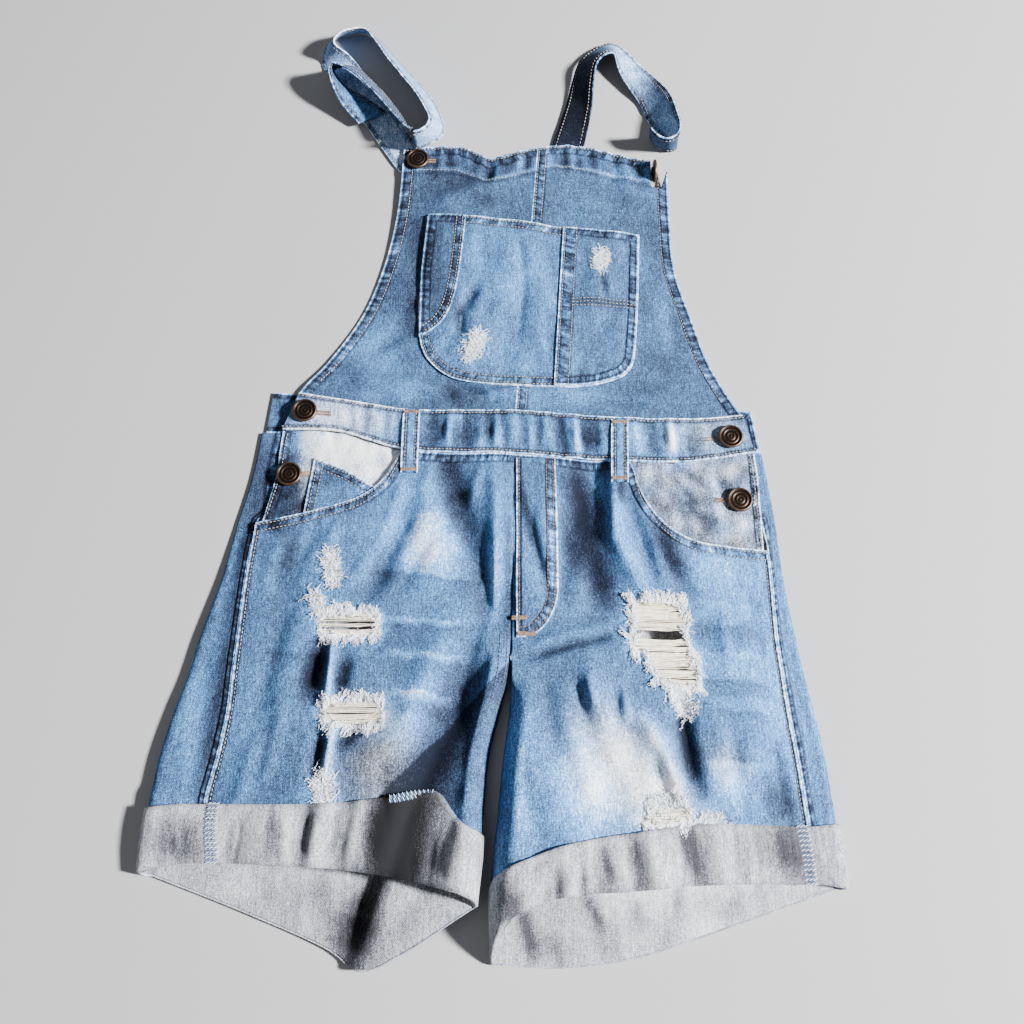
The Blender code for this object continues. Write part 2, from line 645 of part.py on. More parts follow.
# The back's bib, a plain tapered panel under the front one
BACK_BIB = [(-150, 20.6), (150, 6.4), (76, 217.7), (-64, 217.7)]
panel("bib_back", outline_of(polyline(BACK_BIB), 26.0), lambda x, y: Vector((x, y, CLOTH)),
      CLOTH, 26.0, DENIM)


# The front's bib, two panels joined down a centre seam
def seam_x(y):
    return BIB_SEAM_SLANT * y


def bib_outline(side, cell):
    inner = lambda y: seam_x(y) + OUTWARD[side] * GAP / 2
    top_y, foot = BIB_TOP.at("y", seam_x(284)), WAIST_TOP.at("y", 0) + GAP
    end_x = -109.0 if side == LEFT else BIB_NOTCH[0][0]
    side_y = BIB_TOP.at("y", end_x) if side == LEFT else BIB_NOTCH[-1][1]
    low_x = BIB_SIDES.at(side, 20 if side == LEFT else -2)
    low_y = WAIST_TOP.at("y", low_x) + GAP
    top = lambda t: (mix(inner(top_y), end_x, t), BIB_TOP.at("y", mix(inner(top_y), end_x, t)))
    down = lambda t: (BIB_SIDES.at(side, mix(side_y, low_y, t)), mix(side_y, low_y, t))
    along = lambda t: (mix(low_x, inner(0), t), WAIST_TOP.at("y", mix(low_x, inner(0), t)) + GAP)
    up = lambda t: (inner(mix(foot, top_y, t)), mix(foot, top_y, t))
    notch = BIB_NOTCH[:-1] if side == RIGHT else []
    loop = outline_of([top], cell) + notch + outline_of([down, along, up], cell)
    return loop if side == LEFT else loop[::-1]


for side in (LEFT, RIGHT):
    panel(f"bib_{side}", bib_outline(side, 17.0), lambda x, y: Vector((x, y, bib_height(x, y))),
          CLOTH, 17.0, DENIM)

# The patch pocket on the bib: its main panel, a curved side panel and a pen pocket on top
POCKET_PUFF = 2.5


def pocket_on(layers):
    def place(x, y):
        puff = POCKET_PUFF * ease((x + 92) / 45) * ease((122 - x) / 45) * ease((y - 20) / 45)
        return Vector((x, y, bib_height(x, y) + layers * (CLOTH + GAP) + puff))

    return place


MAIN_POCKET = [(-84, 208), (-46, 205), (5, 199), (45, 191), (81, 188), (119, 186), (115, 114), (110, 58),
               (106, 43), (95, 32), (68, 25), (36, 24), (-41, 28), (-68, 37), (-90, 67), (-89, 146)]
SIDE_POCKET = [(-83, 207.5), (-47, 204.5), (-49, 175), (-53, 135), (-58, 107), (-69, 87), (-88, 76),
               (-88, 146)]
PEN_POCKET = [(46, 190.5), (81, 187.5), (118, 185.5), (114, 114), (109, 58), (105, 43.5), (94.5, 33),
              (68, 26), (35, 25), (40, 100)]
panel("bib_pocket", outline_of(polyline(MAIN_POCKET), 17.0)[::-1], pocket_on(1), CLOTH, 17.0, DENIM)
panel("bib_pocket_side", outline_of(polyline(SIDE_POCKET), 14.0)[::-1], pocket_on(2), CLOTH, 14.0, DENIM)
panel("pen_pocket", outline_of(polyline(PEN_POCKET), 17.0)[::-1], pocket_on(2), CLOTH, 17.0, DENIM)

# Belt loops, sewn at both ends over the front waistband
LOOPS = {LEFT: ((-92, 2), (-92, -60), 15.0), RIGHT: ((93, -8), (90, -71), 15.0)}
LOOP_BULGE = 2.0
LOOP_THICK = 1.6
for side, ((x0, y0), (x1, y1), wide) in LOOPS.items():
    def place(u, v):
        x, y = mix(x0, x1, v / (y0 - y1)) + u, y0 - v
        bulge = LOOP_BULGE * math.sin(math.pi * min(max(v / (y0 - y1), 0), 1))
        centre = mix(x0, x1, v / (y0 - y1))
        high = max(front_height(centre + k * wide / 2, y) for k in (-1, 0, 1)) + BAND_RAISE
        return Vector((x, y, high + 1.5 * GAP + bulge))

    length = y0 - y1
    corners = [(-wide / 2, 0), (-wide / 2, length), (wide / 2, length), (wide / 2, 0)]
    panel(f"belt_loop_{side}", outline_of(polyline(corners), 8.0), place, LOOP_THICK, 8.0, STRAP_DENIM)


# Cuffs: each is a ring round the leg's end, turned up on the outside and folded under the hem
def cuff_ring(side):
    """The ring's stations: a leg point as a function of y, the hem there and the cuff's upper edge."""
    stations = []
    for share in [0.3, 0.26, 0.22, 0.18, 0.14, 0.07]:
        hem = mix(HEM_FRONT[side].at("y", 0), HEM_BACK[side].at("y", 0), ease(share / ROLL_PART))
        side_height = CUFF_TOP[side].at("y", 0) - HEM_FRONT[side].at("y", 0)
        top = hem + mix(side_height, CUFF_HEIGHT, share / ROLL_PART)
        stations.append((lambda y, s=share: back_point(side, s, y), hem, top))
    for share in HEM_SHARES[1:]:
        hem, top = HEM_FRONT[side].at("y", share), CUFF_TOP[side].at("y", share)
        stations.append((lambda y, s=share: front_point(side, s, y), hem, top))
    for share in BACK_COLUMNS[:7:-1]:
        hem = HEM_BACK[side].at("y", (share - ROLL_PART) / (1 - ROLL_PART))
        stations.append((lambda y, s=share: back_point(side, s, y), hem, hem + CUFF_HEIGHT))
    return stations


def cuff(side):
    stations = cuff_ring(side)
    count = len(stations)
    profile = [(1, 1), (0.5, 1), (0, 1), (0, -1), (0, 0), (0.5, 0), (1, 0)]
    bm = bmesh.new()
    rings = []
    for k, (point, hem, top) in enumerate(stations):
        before, after = stations[k - 1], stations[(k + 1) % count]
        ring = []
        for up, layer in profile:
            y = mix(hem, top, up)
            if (up, layer) in ((0, 1), (0, -1)):
                y = hem - GAP - CLOTH
            elif up == 0:
                y = hem - GAP
            spot = point(y)
            across = after[0](mix(after[1], after[2], up)) - before[0](mix(before[1], before[2], up))
            out = Vector((0, 1, 0)).cross(across).normalized() * OUTWARD[side]
            off = {1: CUFF_OFF + CLOTH, 0: CUFF_OFF, -1: -CLOTH - 0.1}[layer]
            ring.append(bm.verts.new(spot + out * off))
            if (up, layer) == (0, -1):
                ring.append(bm.verts.new(point(hem - GAP) + out * off))
        rings.append(ring)
    n = len(rings[0])
    for k in range(count):
        a, b = rings[k], rings[(k + 1) % count]
        for i in range(n):
            j = (i + 1) % n
            bm.faces.new((a[i], a[j], b[j], b[i]))
    bmesh.ops.recalc_face_normals(bm, faces=bm.faces)
    bmesh.ops.triangulate(bm, faces=bm.faces)
    return finish(f"cuff_{side}", bm, DENIM_WRONG_SIDE)


for side in (LEFT, RIGHT):
    cuff(side)

# Straps: each is a ribbon through a table of its two edges, the first on the left as the strap runs
STRAPS = {
    "strap_left": [
        (0, -68, 218, 1.3, -36, 218, 1.3), (1, -83, 236, 1.3, -56, 253, 1.3),
        (2, -98, 247, 1.3, -74, 272, 1.3), (3, -115, 262, 1.3, -90, 286, 1.3),
        (4, -134, 291, 1.3, -108, 313, 1.3), (5, -153, 323, 1.3, -127, 343, 1.3),
        (6, -172, 353, 1.3, -146, 371, 1.3), (7, -190, 382, 1.3, -162, 391, 4),
        (8, -197, 404, 1.6, -181, 396, 26), (9, -189, 424, 1.6, -176, 411, 26),
        (10, -171, 434, 1.6, -163, 417, 26), (11, -154, 434, 1.6, -151, 416, 26),
        (12, -141, 424, 1.6, -143, 406, 26), (13, -124, 403, 1.6, -131, 386, 26),
        (14, -105, 378, 1.6, -116, 363, 26), (15, -88, 355, 1.6, -101, 342, 26),
        (16, -75, 330, 1.6, -90, 321, 28), (17, -71, 311, 2, -84, 305, 30),
        (18, -76, 298, 5, -85, 291, 34), (19, -86, 289, 7.5, -91, 282, 38),
        (20, -97, 283.5, 8.2, -97, 279, 39.5),
    ],
    "strap_left_tail": [
        (0, -100, 286, 35, -101, 304, 9.5), (1, -107, 291, 34, -107, 312, 8),
        (2, -121, 310, 32, -120, 336, 6), (3, -136, 329, 32, -134, 356, 6),
        (4, -153, 349, 33, -151, 375, 7), (5, -168, 361, 34, -167, 385, 8),
        (6, -180, 366, 34, -183, 382, 8), (7, -183, 358, 33, -181, 372, 8),
        (8, -178, 346, 26, -169, 357, 8), (9, -168, 332, 16, -150, 344, 6),
        (10, -153, 315, 8, -130, 330, 4.4),
    ],
    "strap_right": [
        (0, 21, 218, 1.3, 53, 218, 1.3), (1, 30, 262, 1.3, 62, 262, 1.3),
        (2, 37, 291, 1.3, 68, 288, 6), (3, 45, 318, 1.3, 73, 308, 13),
        (4, 53, 349, 1.3, 78, 332, 18), (5, 58, 375, 1.3, 80, 354, 22),
        (6, 65, 396, 1.3, 84, 373, 25), (7, 78, 411, 1.6, 92, 383, 26),
        (8, 96, 420, 3, 100, 386, 23), (9, 111, 415, 3, 102, 379, 16),
        (10, 124, 402, 3, 106, 368, 11), (11, 134, 387, 3, 114, 357, 7),
        (12, 145, 369, 6, 125, 344, 2.5), (13, 153, 346, 14, 131, 332, 1.6),
        (14, 157, 320, 22, 138, 318, 1.6), (15, 160, 297, 28, 151, 302, 1.6),
        (16, 157, 283, 31, 160, 290, 1.6), (17, 147, 277, 31, 152, 286, 1.6),
        (18, 138, 281, 31, 141, 292, 1.6), (19, 131, 290, 31, 135, 303, 1.6),
    ],
}


def ribbon(name, rows, spacing=9.0, thick=DOUBLE_CLOTH, wide=STRAP_WIDTH):
    table = Table("step ax ay az bx by bz", rows)
    steps = rows[-1][0]

    def edges(s):
        return (Vector([table.at(c, s) for c in ("ax", "ay", "az")]),
                Vector([table.at(c, s) for c in ("bx", "by", "bz")]))

    at = lambda s: sum(edges(s), Vector()) / 2
    fine = [at(i * steps / 400) for i in range(401)]
    length = sum((b - a).length for a, b in zip(fine, fine[1:]))
    count = round(length / spacing)
    places, run = [0.0], 0.0
    for i in range(400):
        run += (fine[i + 1] - fine[i]).length
        if run >= length / count * len(places) and len(places) < count:
            places.append((i + 1) * steps / 400)
    places.append(float(steps))
    bm = bmesh.new()
    rings = []
    for s in places:
        ahead = (at(min(s + 0.05, steps)) - at(max(s - 0.05, 0))).normalized()
        left, right = edges(s)
        across = (right - left).normalized()
        face = across.cross(ahead).normalized()
        ring = [at(s) + across * wide * a + face * thick * b
                for a, b in ((-0.5, 0.5), (0.5, 0.5), (0.5, -0.5), (-0.5, -0.5))]
        rest = Vector((0, 0, max(0.0, -min(p.z for p in ring))))
        rings.append([bm.verts.new(p + rest) for p in ring])
    for a, b in zip(rings, rings[1:]):
        for i in range(4):
            bm.faces.new((a[i], a[(i + 1) % 4], b[(i + 1) % 4], b[i]))
    bm.faces.new(rings[0][::-1])
    bm.faces.new(rings[-1])
    bmesh.ops.recalc_face_normals(bm, faces=bm.faces)
    bmesh.ops.triangulate(bm, faces=bm.faces)
    return finish(name, bm, STRAP_DENIM)


for name, rows in STRAPS.items():
    ribbon(name, rows)

# Shank buttons: a turned cap with a sunk face, on a short shank that stands on the cloth
BUTTON_PROFILE = [(0, 0), (4, 0), (4, 1.6), (10.4, 1.9), (11, 3.0), (10, 4.4), (8, 3.7), (0, 3.9)]
BUTTON_SIDES = 12


def button(name, x, y, z, tip=(0, 0)):
    """A button on the cloth at x, y, whose outer face there is at z, tipped in degrees about X and Y."""
    bm = bmesh.new()
    rings = []
    for radius, height in BUTTON_PROFILE:
        if radius == 0:
            rings.append([bm.verts.new((0, 0, height))])
        else:
            rings.append([bm.verts.new((radius * math.cos(a), radius * math.sin(a), height))
                          for a in (2 * math.pi * k / BUTTON_SIDES for k in range(BUTTON_SIDES))])
    for low, high in zip(rings, rings[1:]):
        for k in range(BUTTON_SIDES):
            j = (k + 1) % BUTTON_SIDES
            corners = [low[k % len(low)], low[j % len(low)], high[j % len(high)], high[k % len(high)]]
            bm.faces.new(list(dict.fromkeys(corners)))
    bmesh.ops.recalc_face_normals(bm, faces=bm.faces)
    bmesh.ops.triangulate(bm, faces=bm.faces)
    turn = Matrix.Rotation(math.radians(tip[0]), 4, "X") @ Matrix.Rotation(math.radians(tip[1]), 4, "Y")
    bmesh.ops.transform(bm, matrix=Matrix.Translation((x, y, z + GAP)) @ turn, verts=bm.verts)
    return finish(name, bm, BRONZE)


def clear_height(height, x, y, reach=4.0):
    return max(height(x + i * reach, y + j * reach) for i in (-1, 0, 1) for j in (-1, 0, 1))


button("button_bib_left", -95, 271, clear_height(bib_height, -95, 271))
button("button_bib_right", 132.7, 255, 11.2 - GAP, (0, 90))
button("button_waist_left", -187, 0, clear_height(front_height, -187, 0) + BAND_RAISE)
button("button_waist_right", 190, -25, clear_height(front_height, 190, -25) + BAND_RAISE)
button("button_hip_left", -197, -60, clear_height(front_height, -197, -60) - HIP_DROP[LEFT])
button("button_hip_right", 194, -84, clear_height(front_height, 194, -84) - HIP_DROP[RIGHT])
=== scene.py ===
"""Dresses the plain model of a pair of denim shortalls in its cloth, sewing and buttons.

Lengths are in millimetres from the middle of the waist seam, +X to the right and +Y towards the straps,
until a mesh is put in place, and then in metres.
"""
import math

import bmesh
import bpy
import numpy as np
from mathutils import Matrix, Vector, geometry


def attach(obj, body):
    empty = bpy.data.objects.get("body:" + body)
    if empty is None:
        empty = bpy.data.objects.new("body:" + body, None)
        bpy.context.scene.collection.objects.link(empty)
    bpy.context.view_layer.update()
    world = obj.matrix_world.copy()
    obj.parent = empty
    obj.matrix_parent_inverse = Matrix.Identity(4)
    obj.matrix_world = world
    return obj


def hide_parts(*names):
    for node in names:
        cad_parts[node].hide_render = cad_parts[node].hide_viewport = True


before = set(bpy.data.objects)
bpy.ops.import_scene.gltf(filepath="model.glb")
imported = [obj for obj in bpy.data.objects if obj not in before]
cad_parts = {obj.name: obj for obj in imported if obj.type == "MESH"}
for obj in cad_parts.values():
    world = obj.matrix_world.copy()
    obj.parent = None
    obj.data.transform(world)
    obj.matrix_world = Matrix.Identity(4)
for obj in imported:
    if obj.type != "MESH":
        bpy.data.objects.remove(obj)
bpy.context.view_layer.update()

# The backs: one panel of washed stretch denim to each side, which lies on the surface and rolls round the
# side up to the outseam on top. The leg openings show its wrong side, grey and finely lined. A felled
# outseam joins it to the front, and above that it laps under the front, where the sides button.
MM = 0.001
WAIST_IN_PART = np.array([18.0, 9.3, 0.0])
CLOTH, DOUBLE_CLOTH, GAP = 1.4, 2.4, 0.3
LEFT, RIGHT = "left", "right"
SIDES = (LEFT, RIGHT)
OUTWARD = {LEFT: -1.0, RIGHT: 1.0}


class Table:
    """Rows of named columns, read at any places along the first column on a smooth curve."""

    def __init__(self, columns, rows):
        self.columns = columns.split()
        self.rows = np.array(sorted(rows), float)

    def at(self, column, places):
        keys, values = self.rows[:, 0], self.rows[:, self.columns.index(column)]
        slopes = np.diff(values) / np.diff(keys)
        bends = np.concatenate(([slopes[0]], (slopes[1:] + slopes[:-1]) / 2, [slopes[-1]]))
        places = np.clip(np.asarray(places, float), keys[0], keys[-1])
        k = np.clip(np.searchsorted(keys, places, "right") - 1, 0, len(keys) - 2)
        wide = keys[k + 1] - keys[k]
        t = (places - keys[k]) / wide
        return (
            values[k] * (1 + 2 * t) * (1 - t) ** 2
            + values[k + 1] * t * t * (3 - 2 * t)
            + bends[k] * wide * t * (1 - t) ** 2
            - bends[k + 1] * wide * t * t * (1 - t)
        )


def ease(t):
    t = np.clip(t, 0.0, 1.0)
    return t * t * (3 - 2 * t)


def mix(a, b, t):
    return a + (b - a) * t


def spot(x, y, z):
    x, y, z = np.broadcast_arrays(np.asarray(x, float), np.asarray(y, float), np.asarray(z, float))
    return np.stack([x, y, z], axis=-1)


# Sections across each half: out is the furthest reach of the rolled side, roll its height, seam the outseam
# on top, z_* the height of the top, inner the centre front or inner leg, rise the height of the inner leg's
# seam, and crest how far a crease at x crease lifts the back off the surface
SECTION = "y out roll seam z_seam z_mid z_inner inner rise crest crease"
HALF = {
    LEFT: Table(SECTION, [
        (25, -222, 3.4, -210, 6.2, 7.5, 9.5, 0, 0, 0, -90),
        (-17, -226, 3.4, -214, 8.6, 9.5, 11, 0, 0, 0, -90),
        (-60, -231, 3.4, -219, 9.8, 13, 14, -1, 0, 0, -90),
        (-103, -240, 3.6, -222, 10, 15.5, 16.5, -2, 0, 0, -90),
        (-150, -248, 7, -226, 10.6, 18, 19, -2, 0, 0, -88),
        (-205, -262, 9, -228, 13, 21, 20, -3, 0, 0, -86),
        (-235, -268, 10, -229, 14, 22, 18, -5, 0, 0, -84),
        (-264, -276, 11, -230, 14, 23, 15, -12, 0, 0, -82),
        (-302, -284, 12, -235, 14, 24, 15, -21, 0, 0, -80),
        (-335, -287, 12, -241, 13.5, 25, 20, -24, 3, 3, -82),
        (-384, -288, 9.5, -238, 12, 27, 31, -27, 15, 11, -92),
        (-410, -286, 8.5, -236, 11, 28, 35, -30, 20, 13, -100),
        (-460, -283, 8, -234, 10, 28, 35, -32, 20, 7, -116),
    ]),
    RIGHT: Table(SECTION, [
        (25, 214, 3.4, 203, 5.8, 7.5, 9.5, 0, 0, 0, 60),
        (-17, 216, 3.4, 205, 6.8, 9, 11, 0, 0, 0, 60),
        (-60, 221, 3.4, 209, 8, 12.5, 14, -1, 0, 0, 60),
        (-103, 225, 3.6, 212, 8.6, 15.5, 16.5, -2, 0, 0, 60),
        (-150, 227, 6.5, 215, 9.6, 19, 19.5, -2, 0, 0, 60),
        (-205, 233, 8, 215, 11, 22, 22, -3, 0, 0, 60),
        (-235, 237, 8.5, 217, 11.5, 24, 24, -3, 0, 0, 60),
        (-264, 242, 9, 219, 12, 25.5, 29, -5, 0, 0, 60),
        (-302, 247, 10, 223, 12, 27, 34, -10, 0, 0, 60),
        (-352, 250, 10, 227, 12, 28, 37, -15, 0, 0, 60),
        (-395, 252, 9, 231, 11, 27, 37, -19, 0, 0, 60),
        (-460, 250, 8, 232, 10, 27, 37, -17, 0, 0, 60),
    ]),
}
ROLL_WIDTH = {LEFT: 9.0, RIGHT: 7.0}
HEM_FRONT = {
    LEFT: Table("share y", [(0, -378), (0.25, -380), (0.5, -384), (0.75, -394), (1, -409)]),
    RIGHT: Table("share y", [(0, -394), (0.3, -394), (0.5, -398), (0.75, -405), (0.86, -419), (1, -450)]),
}
HEM_BACK = {
    LEFT: Table("share y", [(0, -388), (0.33, -418), (0.55, -440), (0.66, -455), (0.76, -446), (1, -410)]),
    RIGHT: Table("share y", [(0, -398), (0.22, -417), (0.42, -434), (0.58, -446), (0.8, -453), (1, -451)]),
}
CUFF_HEIGHT, CUFF_OFF = 48.0, 0.7
TOP_PART, ROLL_PART = 0.14, 0.3  # the back's shares that lie on top, and that roll round the side
ROLL_SHAPE = 0.9  # how far the rolled side reaches at most, for its height
PLACKET_LAP, PLACKET_END, PLACKET_RUN = 15.0, -101.0, 13.0
OUTSEAM_TOP, OUTSEAM_RUN = -103.0, 25.0
CROTCH, INNER_GAP = -264.0, 0.4
CREASE_TOP, CREASE_RUN, CREASE_WIDE = -302.0, 4.0, 18.0
HEM_ZONE, CUFF_STEP = 70.0, 20.0
BACK_WAIST = Table("x y", [(-230, -17), (222, -38)])


def cuff_lift(side, share, y):
    return (CLOTH + CUFF_OFF) * ease((HEM_BACK[side].at("y", share) + CUFF_HEIGHT + CUFF_STEP - y) / 10)


def back_point(side, share, y):
    """Points of a back's outer face, from the outseam round the rolled side to the inner edge."""
    half, out = HALF[side], OUTWARD[side]
    share, y = np.broadcast_arrays(np.asarray(share, float), np.asarray(y, float))
    roll = half.at("roll", y)
    wide = np.minimum(ROLL_WIDTH[side], roll * ROLL_SHAPE)
    axis = half.at("out", y) - out * wide
    seam = half.at("seam", y) + out * 3 * GAP - out * PLACKET_LAP * ease((y - PLACKET_END) / PLACKET_RUN)
    under = np.clip((share - ROLL_PART) / (1 - ROLL_PART), 0, 1)
    low = cuff_lift(side, under, y)
    t = np.clip(share / TOP_PART, 0, 1)
    side_top = mix(roll, half.at("z_seam", y), ease((OUTSEAM_TOP - y) / OUTSEAM_RUN))
    angle = np.clip((share - TOP_PART) / (ROLL_PART - TOP_PART), 0, 1) * math.pi
    inner = half.at("inner", y) + out * np.where(y < CROTCH, INNER_GAP, GAP / 2)
    x_under = mix(axis, inner, under)
    lift = 0.0
    if side == LEFT:
        crest, crease = np.maximum(half.at("crest", y), 0), half.at("crease", y)
        past = np.clip((x_under - crease) / (inner - crease), 0, 1)
        lift = mix(crest, np.maximum(half.at("rise", y), 0), past)
        lift = lift * ease((x_under - crease + CREASE_WIDE) / CREASE_WIDE)
        lift = lift * ease((CREASE_TOP - y) / CREASE_RUN)
    on_top, rolled = share <= TOP_PART, share <= ROLL_PART
    x = np.where(on_top, mix(seam, axis, t), np.where(rolled, axis + out * wide * np.sin(angle), x_under))
    z = np.where(on_top, mix(side_top, roll + low, ease(t)),
                 np.where(rolled, low + roll * (1 + np.cos(angle)) / 2, low + lift))
    return spot(x, y, z)


def back_hem(side, share):
    under = np.clip((share - ROLL_PART) / (1 - ROLL_PART), 0, 1)
    hem = HEM_BACK[side].at("y", under)
    side_hem = mix(HEM_FRONT[side].at("y", 0.0), hem, ease(share / ROLL_PART))
    return np.where(share < ROLL_PART, side_hem, hem)


def back_on(side, share, down):
    """The back as share across and down: 0 to 1 down to the hem zone and 1 to 2 down the zone."""
    hem = back_hem(side, share)
    top = BACK_WAIST.at("y", back_point(side, share, -30.0)[..., 0]) - 2 * GAP
    y = np.where(down <= 1, mix(top, hem + HEM_ZONE, down), hem + HEM_ZONE * (2 - down))
    return back_point(side, share, y)


def put(tree, kind, values=None, **settings):
    """Adds a node to a tree, with its settings and with a value or a link for each input named."""
    node = tree.nodes.new(kind)
    for key, value in settings.items():
        setattr(node, key, value)
    for key, value in (values or {}).items():
        if isinstance(value, bpy.types.NodeSocket):
            tree.links.new(value, node.inputs[key])
        else:
            node.inputs[key].default_value = value
    return node


def typed(sockets, kind, name):
    """The socket of one kind, where a node has one of that name for each kind."""
    return next(s for s in sockets if s.type == kind and s.name == name)


def sums(tree, operation, *terms):
    values = dict(enumerate(terms))
    return put(tree, "ShaderNodeMath", values, operation=operation).outputs[0]


def stretched_noise(tree, place, stretch, scale, detail):
    """Noise about nought, over places stretched by different amounts each way."""
    turned = put(tree, "ShaderNodeMapping", {"Vector": place, "Scale": stretch}).outputs[0]
    values = {"Vector": turned, "Scale": scale, "Detail": detail, "Roughness": 0.62}
    return sums(tree, "SUBTRACT", put(tree, "ShaderNodeTexNoise", values).outputs["Fac"], 0.5)


def wear_group(name, given, results):
    """A new shader node group from one vector to some numbers, with its vector and its output sockets."""
    group = bpy.data.node_groups.new(name, "ShaderNodeTree")
    group.interface.new_socket(given, in_out="INPUT", socket_type="NodeSocketVector")
    for result in results:
        group.interface.new_socket(result, in_out="OUTPUT", socket_type="NodeSocketFloat")
    return group, group.nodes.new("NodeGroupInput").outputs[given], group.nodes.new("NodeGroupOutput").inputs


def weave_group():
    """Twill lines, slubbed warp threads and a mottled wash, as unevenness about nought, and their relief."""
    group, place, outputs = wear_group("twill weave", "Place", ("Unevenness", "Mottle", "Ribs", "Relief"))
    grain = stretched_noise(group, place, (1, 1, 1), 900.0, 1.0)
    slub = stretched_noise(group, place, (1, 0.14, 1), 1150.0, 1.0)
    pick = stretched_noise(group, place, (0.18, 1, 1), 1050.0, 1.0)
    mottle = stretched_noise(group, place, (1, 0.7, 1), 90.0, 5.0)
    ribs = stretched_noise(group, place, (1, 0.02, 1), 620.0, 1.0)
    diagonal = {0: place, 1: (3900.0, 2900.0, 1500.0)}
    lines = put(group, "ShaderNodeVectorMath", diagonal, operation="DOT_PRODUCT")
    twill = sums(group, "SINE", lines.outputs["Value"])
    uneven = sums(group, "MULTIPLY_ADD", slub, 0.5, sums(group, "MULTIPLY", pick, 0.22))
    uneven = sums(group, "MULTIPLY_ADD", grain, 0.72, uneven)
    uneven = sums(group, "MULTIPLY_ADD", twill, 0.035, uneven)
    relief = sums(group, "MULTIPLY_ADD", twill, 0.07, sums(group, "MULTIPLY", grain, 0.5))
    for name, value in (("Unevenness", uneven), ("Mottle", mottle), ("Ribs", ribs), ("Relief", relief)):
        group.links.new(value, outputs[name])
    return group


def hem_group():
    """Wear along sewn edges: a pale rim, roped puckers across the hem and a groove at its stitches, darkened
    partly with painted shade.
    """
    group, edge, outputs = wear_group("roped hem", "Edge", ("Paleness", "Relief"))
    along, away, wide = put(group, "ShaderNodeSeparateXYZ", {0: edge}).outputs
    first_row = 2.6

    def fade(value, start, end):
        places = {"Value": value, "From Min": start, "From Max": end, "To Min": 1.0, "To Max": 0.0}
        return put(group, "ShaderNodeMapRange", places, interpolation_type="SMOOTHSTEP").outputs[0]

    def stitched_at(row):
        off = sums(group, "SUBTRACT", away, row)
        return sums(group, "EXPONENT", sums(group, "MULTIPLY", sums(group, "MULTIPLY", off, off), -0.7))

    rim = fade(away, 0.4, 2.0)
    band = fade(sums(group, "SUBTRACT", away, wide), -1.2, 0.8)
    groove = sums(group, "ADD", stitched_at(wide), stitched_at(first_row))
    slanted = {0: sums(group, "MULTIPLY_ADD", away, 0.22, along), 1: sums(group, "MULTIPLY", away, 0.25)}
    slanted = put(group, "ShaderNodeCombineXYZ", slanted).outputs[0]
    roped = sums(group, "MULTIPLY", stretched_noise(group, slanted, (1, 1, 1), 0.16, 2.0), band)
    pale = sums(group, "MULTIPLY_ADD", roped, 1.6, sums(group, "MULTIPLY", rim, 0.42))
    # The groove darkens the stitch lines: partly dye kept there, partly painted shade
    pale = sums(group, "MULTIPLY_ADD", groove, -0.16, sums(group, "MULTIPLY_ADD", band, -0.05, pale))
    relief = sums(group, "MULTIPLY_ADD", roped, 4.5, sums(group, "MULTIPLY", band, 1.2))
    relief = sums(group, "MULTIPLY_ADD", groove, -0.8, relief)
    has_hem = sums(group, "GREATER_THAN", wide, 0.1)
    group.links.new(sums(group, "MULTIPLY", pale, has_hem), outputs["Paleness"])
    group.links.new(sums(group, "MULTIPLY", relief, has_hem), outputs["Relief"])
    return group


WEAVE, HEM = weave_group(), hem_group()
INDIGO = [
    (0.0, (0.006, 0.008, 0.016)), (0.15, (0.012, 0.017, 0.033)), (0.28, (0.026, 0.04, 0.075)),
    (0.4, (0.036, 0.063, 0.12)), (0.5, (0.051, 0.113, 0.235)), (0.6, (0.068, 0.18, 0.39)),
    (0.7, (0.1, 0.285, 0.6)), (0.8, (0.2, 0.43, 0.78)), (0.9, (0.54, 0.67, 0.88)),
    (1.0, (0.95, 0.96, 0.97)),
]
STONE = [
    (0.0, (0.008, 0.01, 0.016)), (0.3, (0.032, 0.036, 0.05)), (0.5, (0.13, 0.14, 0.165)),
    (0.7, (0.37, 0.38, 0.42)), (0.85, (0.64, 0.65, 0.68)), (1.0, (0.92, 0.91, 0.89)),
]


def ramp(tree, value, stops):
    node = put(tree, "ShaderNodeValToRGB", {"Fac": value})
    while len(node.color_ramp.elements) < len(stops):
        node.color_ramp.elements.new(0.5)
    for element, (place, colour) in zip(node.color_ramp.elements, stops):
        element.position = place
        element.color = (*colour, 1)
    return node.outputs["Color"]


def new_material(name, roughness):
    made = bpy.data.materials.new(name)
    made.use_nodes = True
    shader = made.node_tree.nodes["Principled BSDF"]
    shader.inputs["Roughness"].default_value = roughness
    return made, made.node_tree, shader


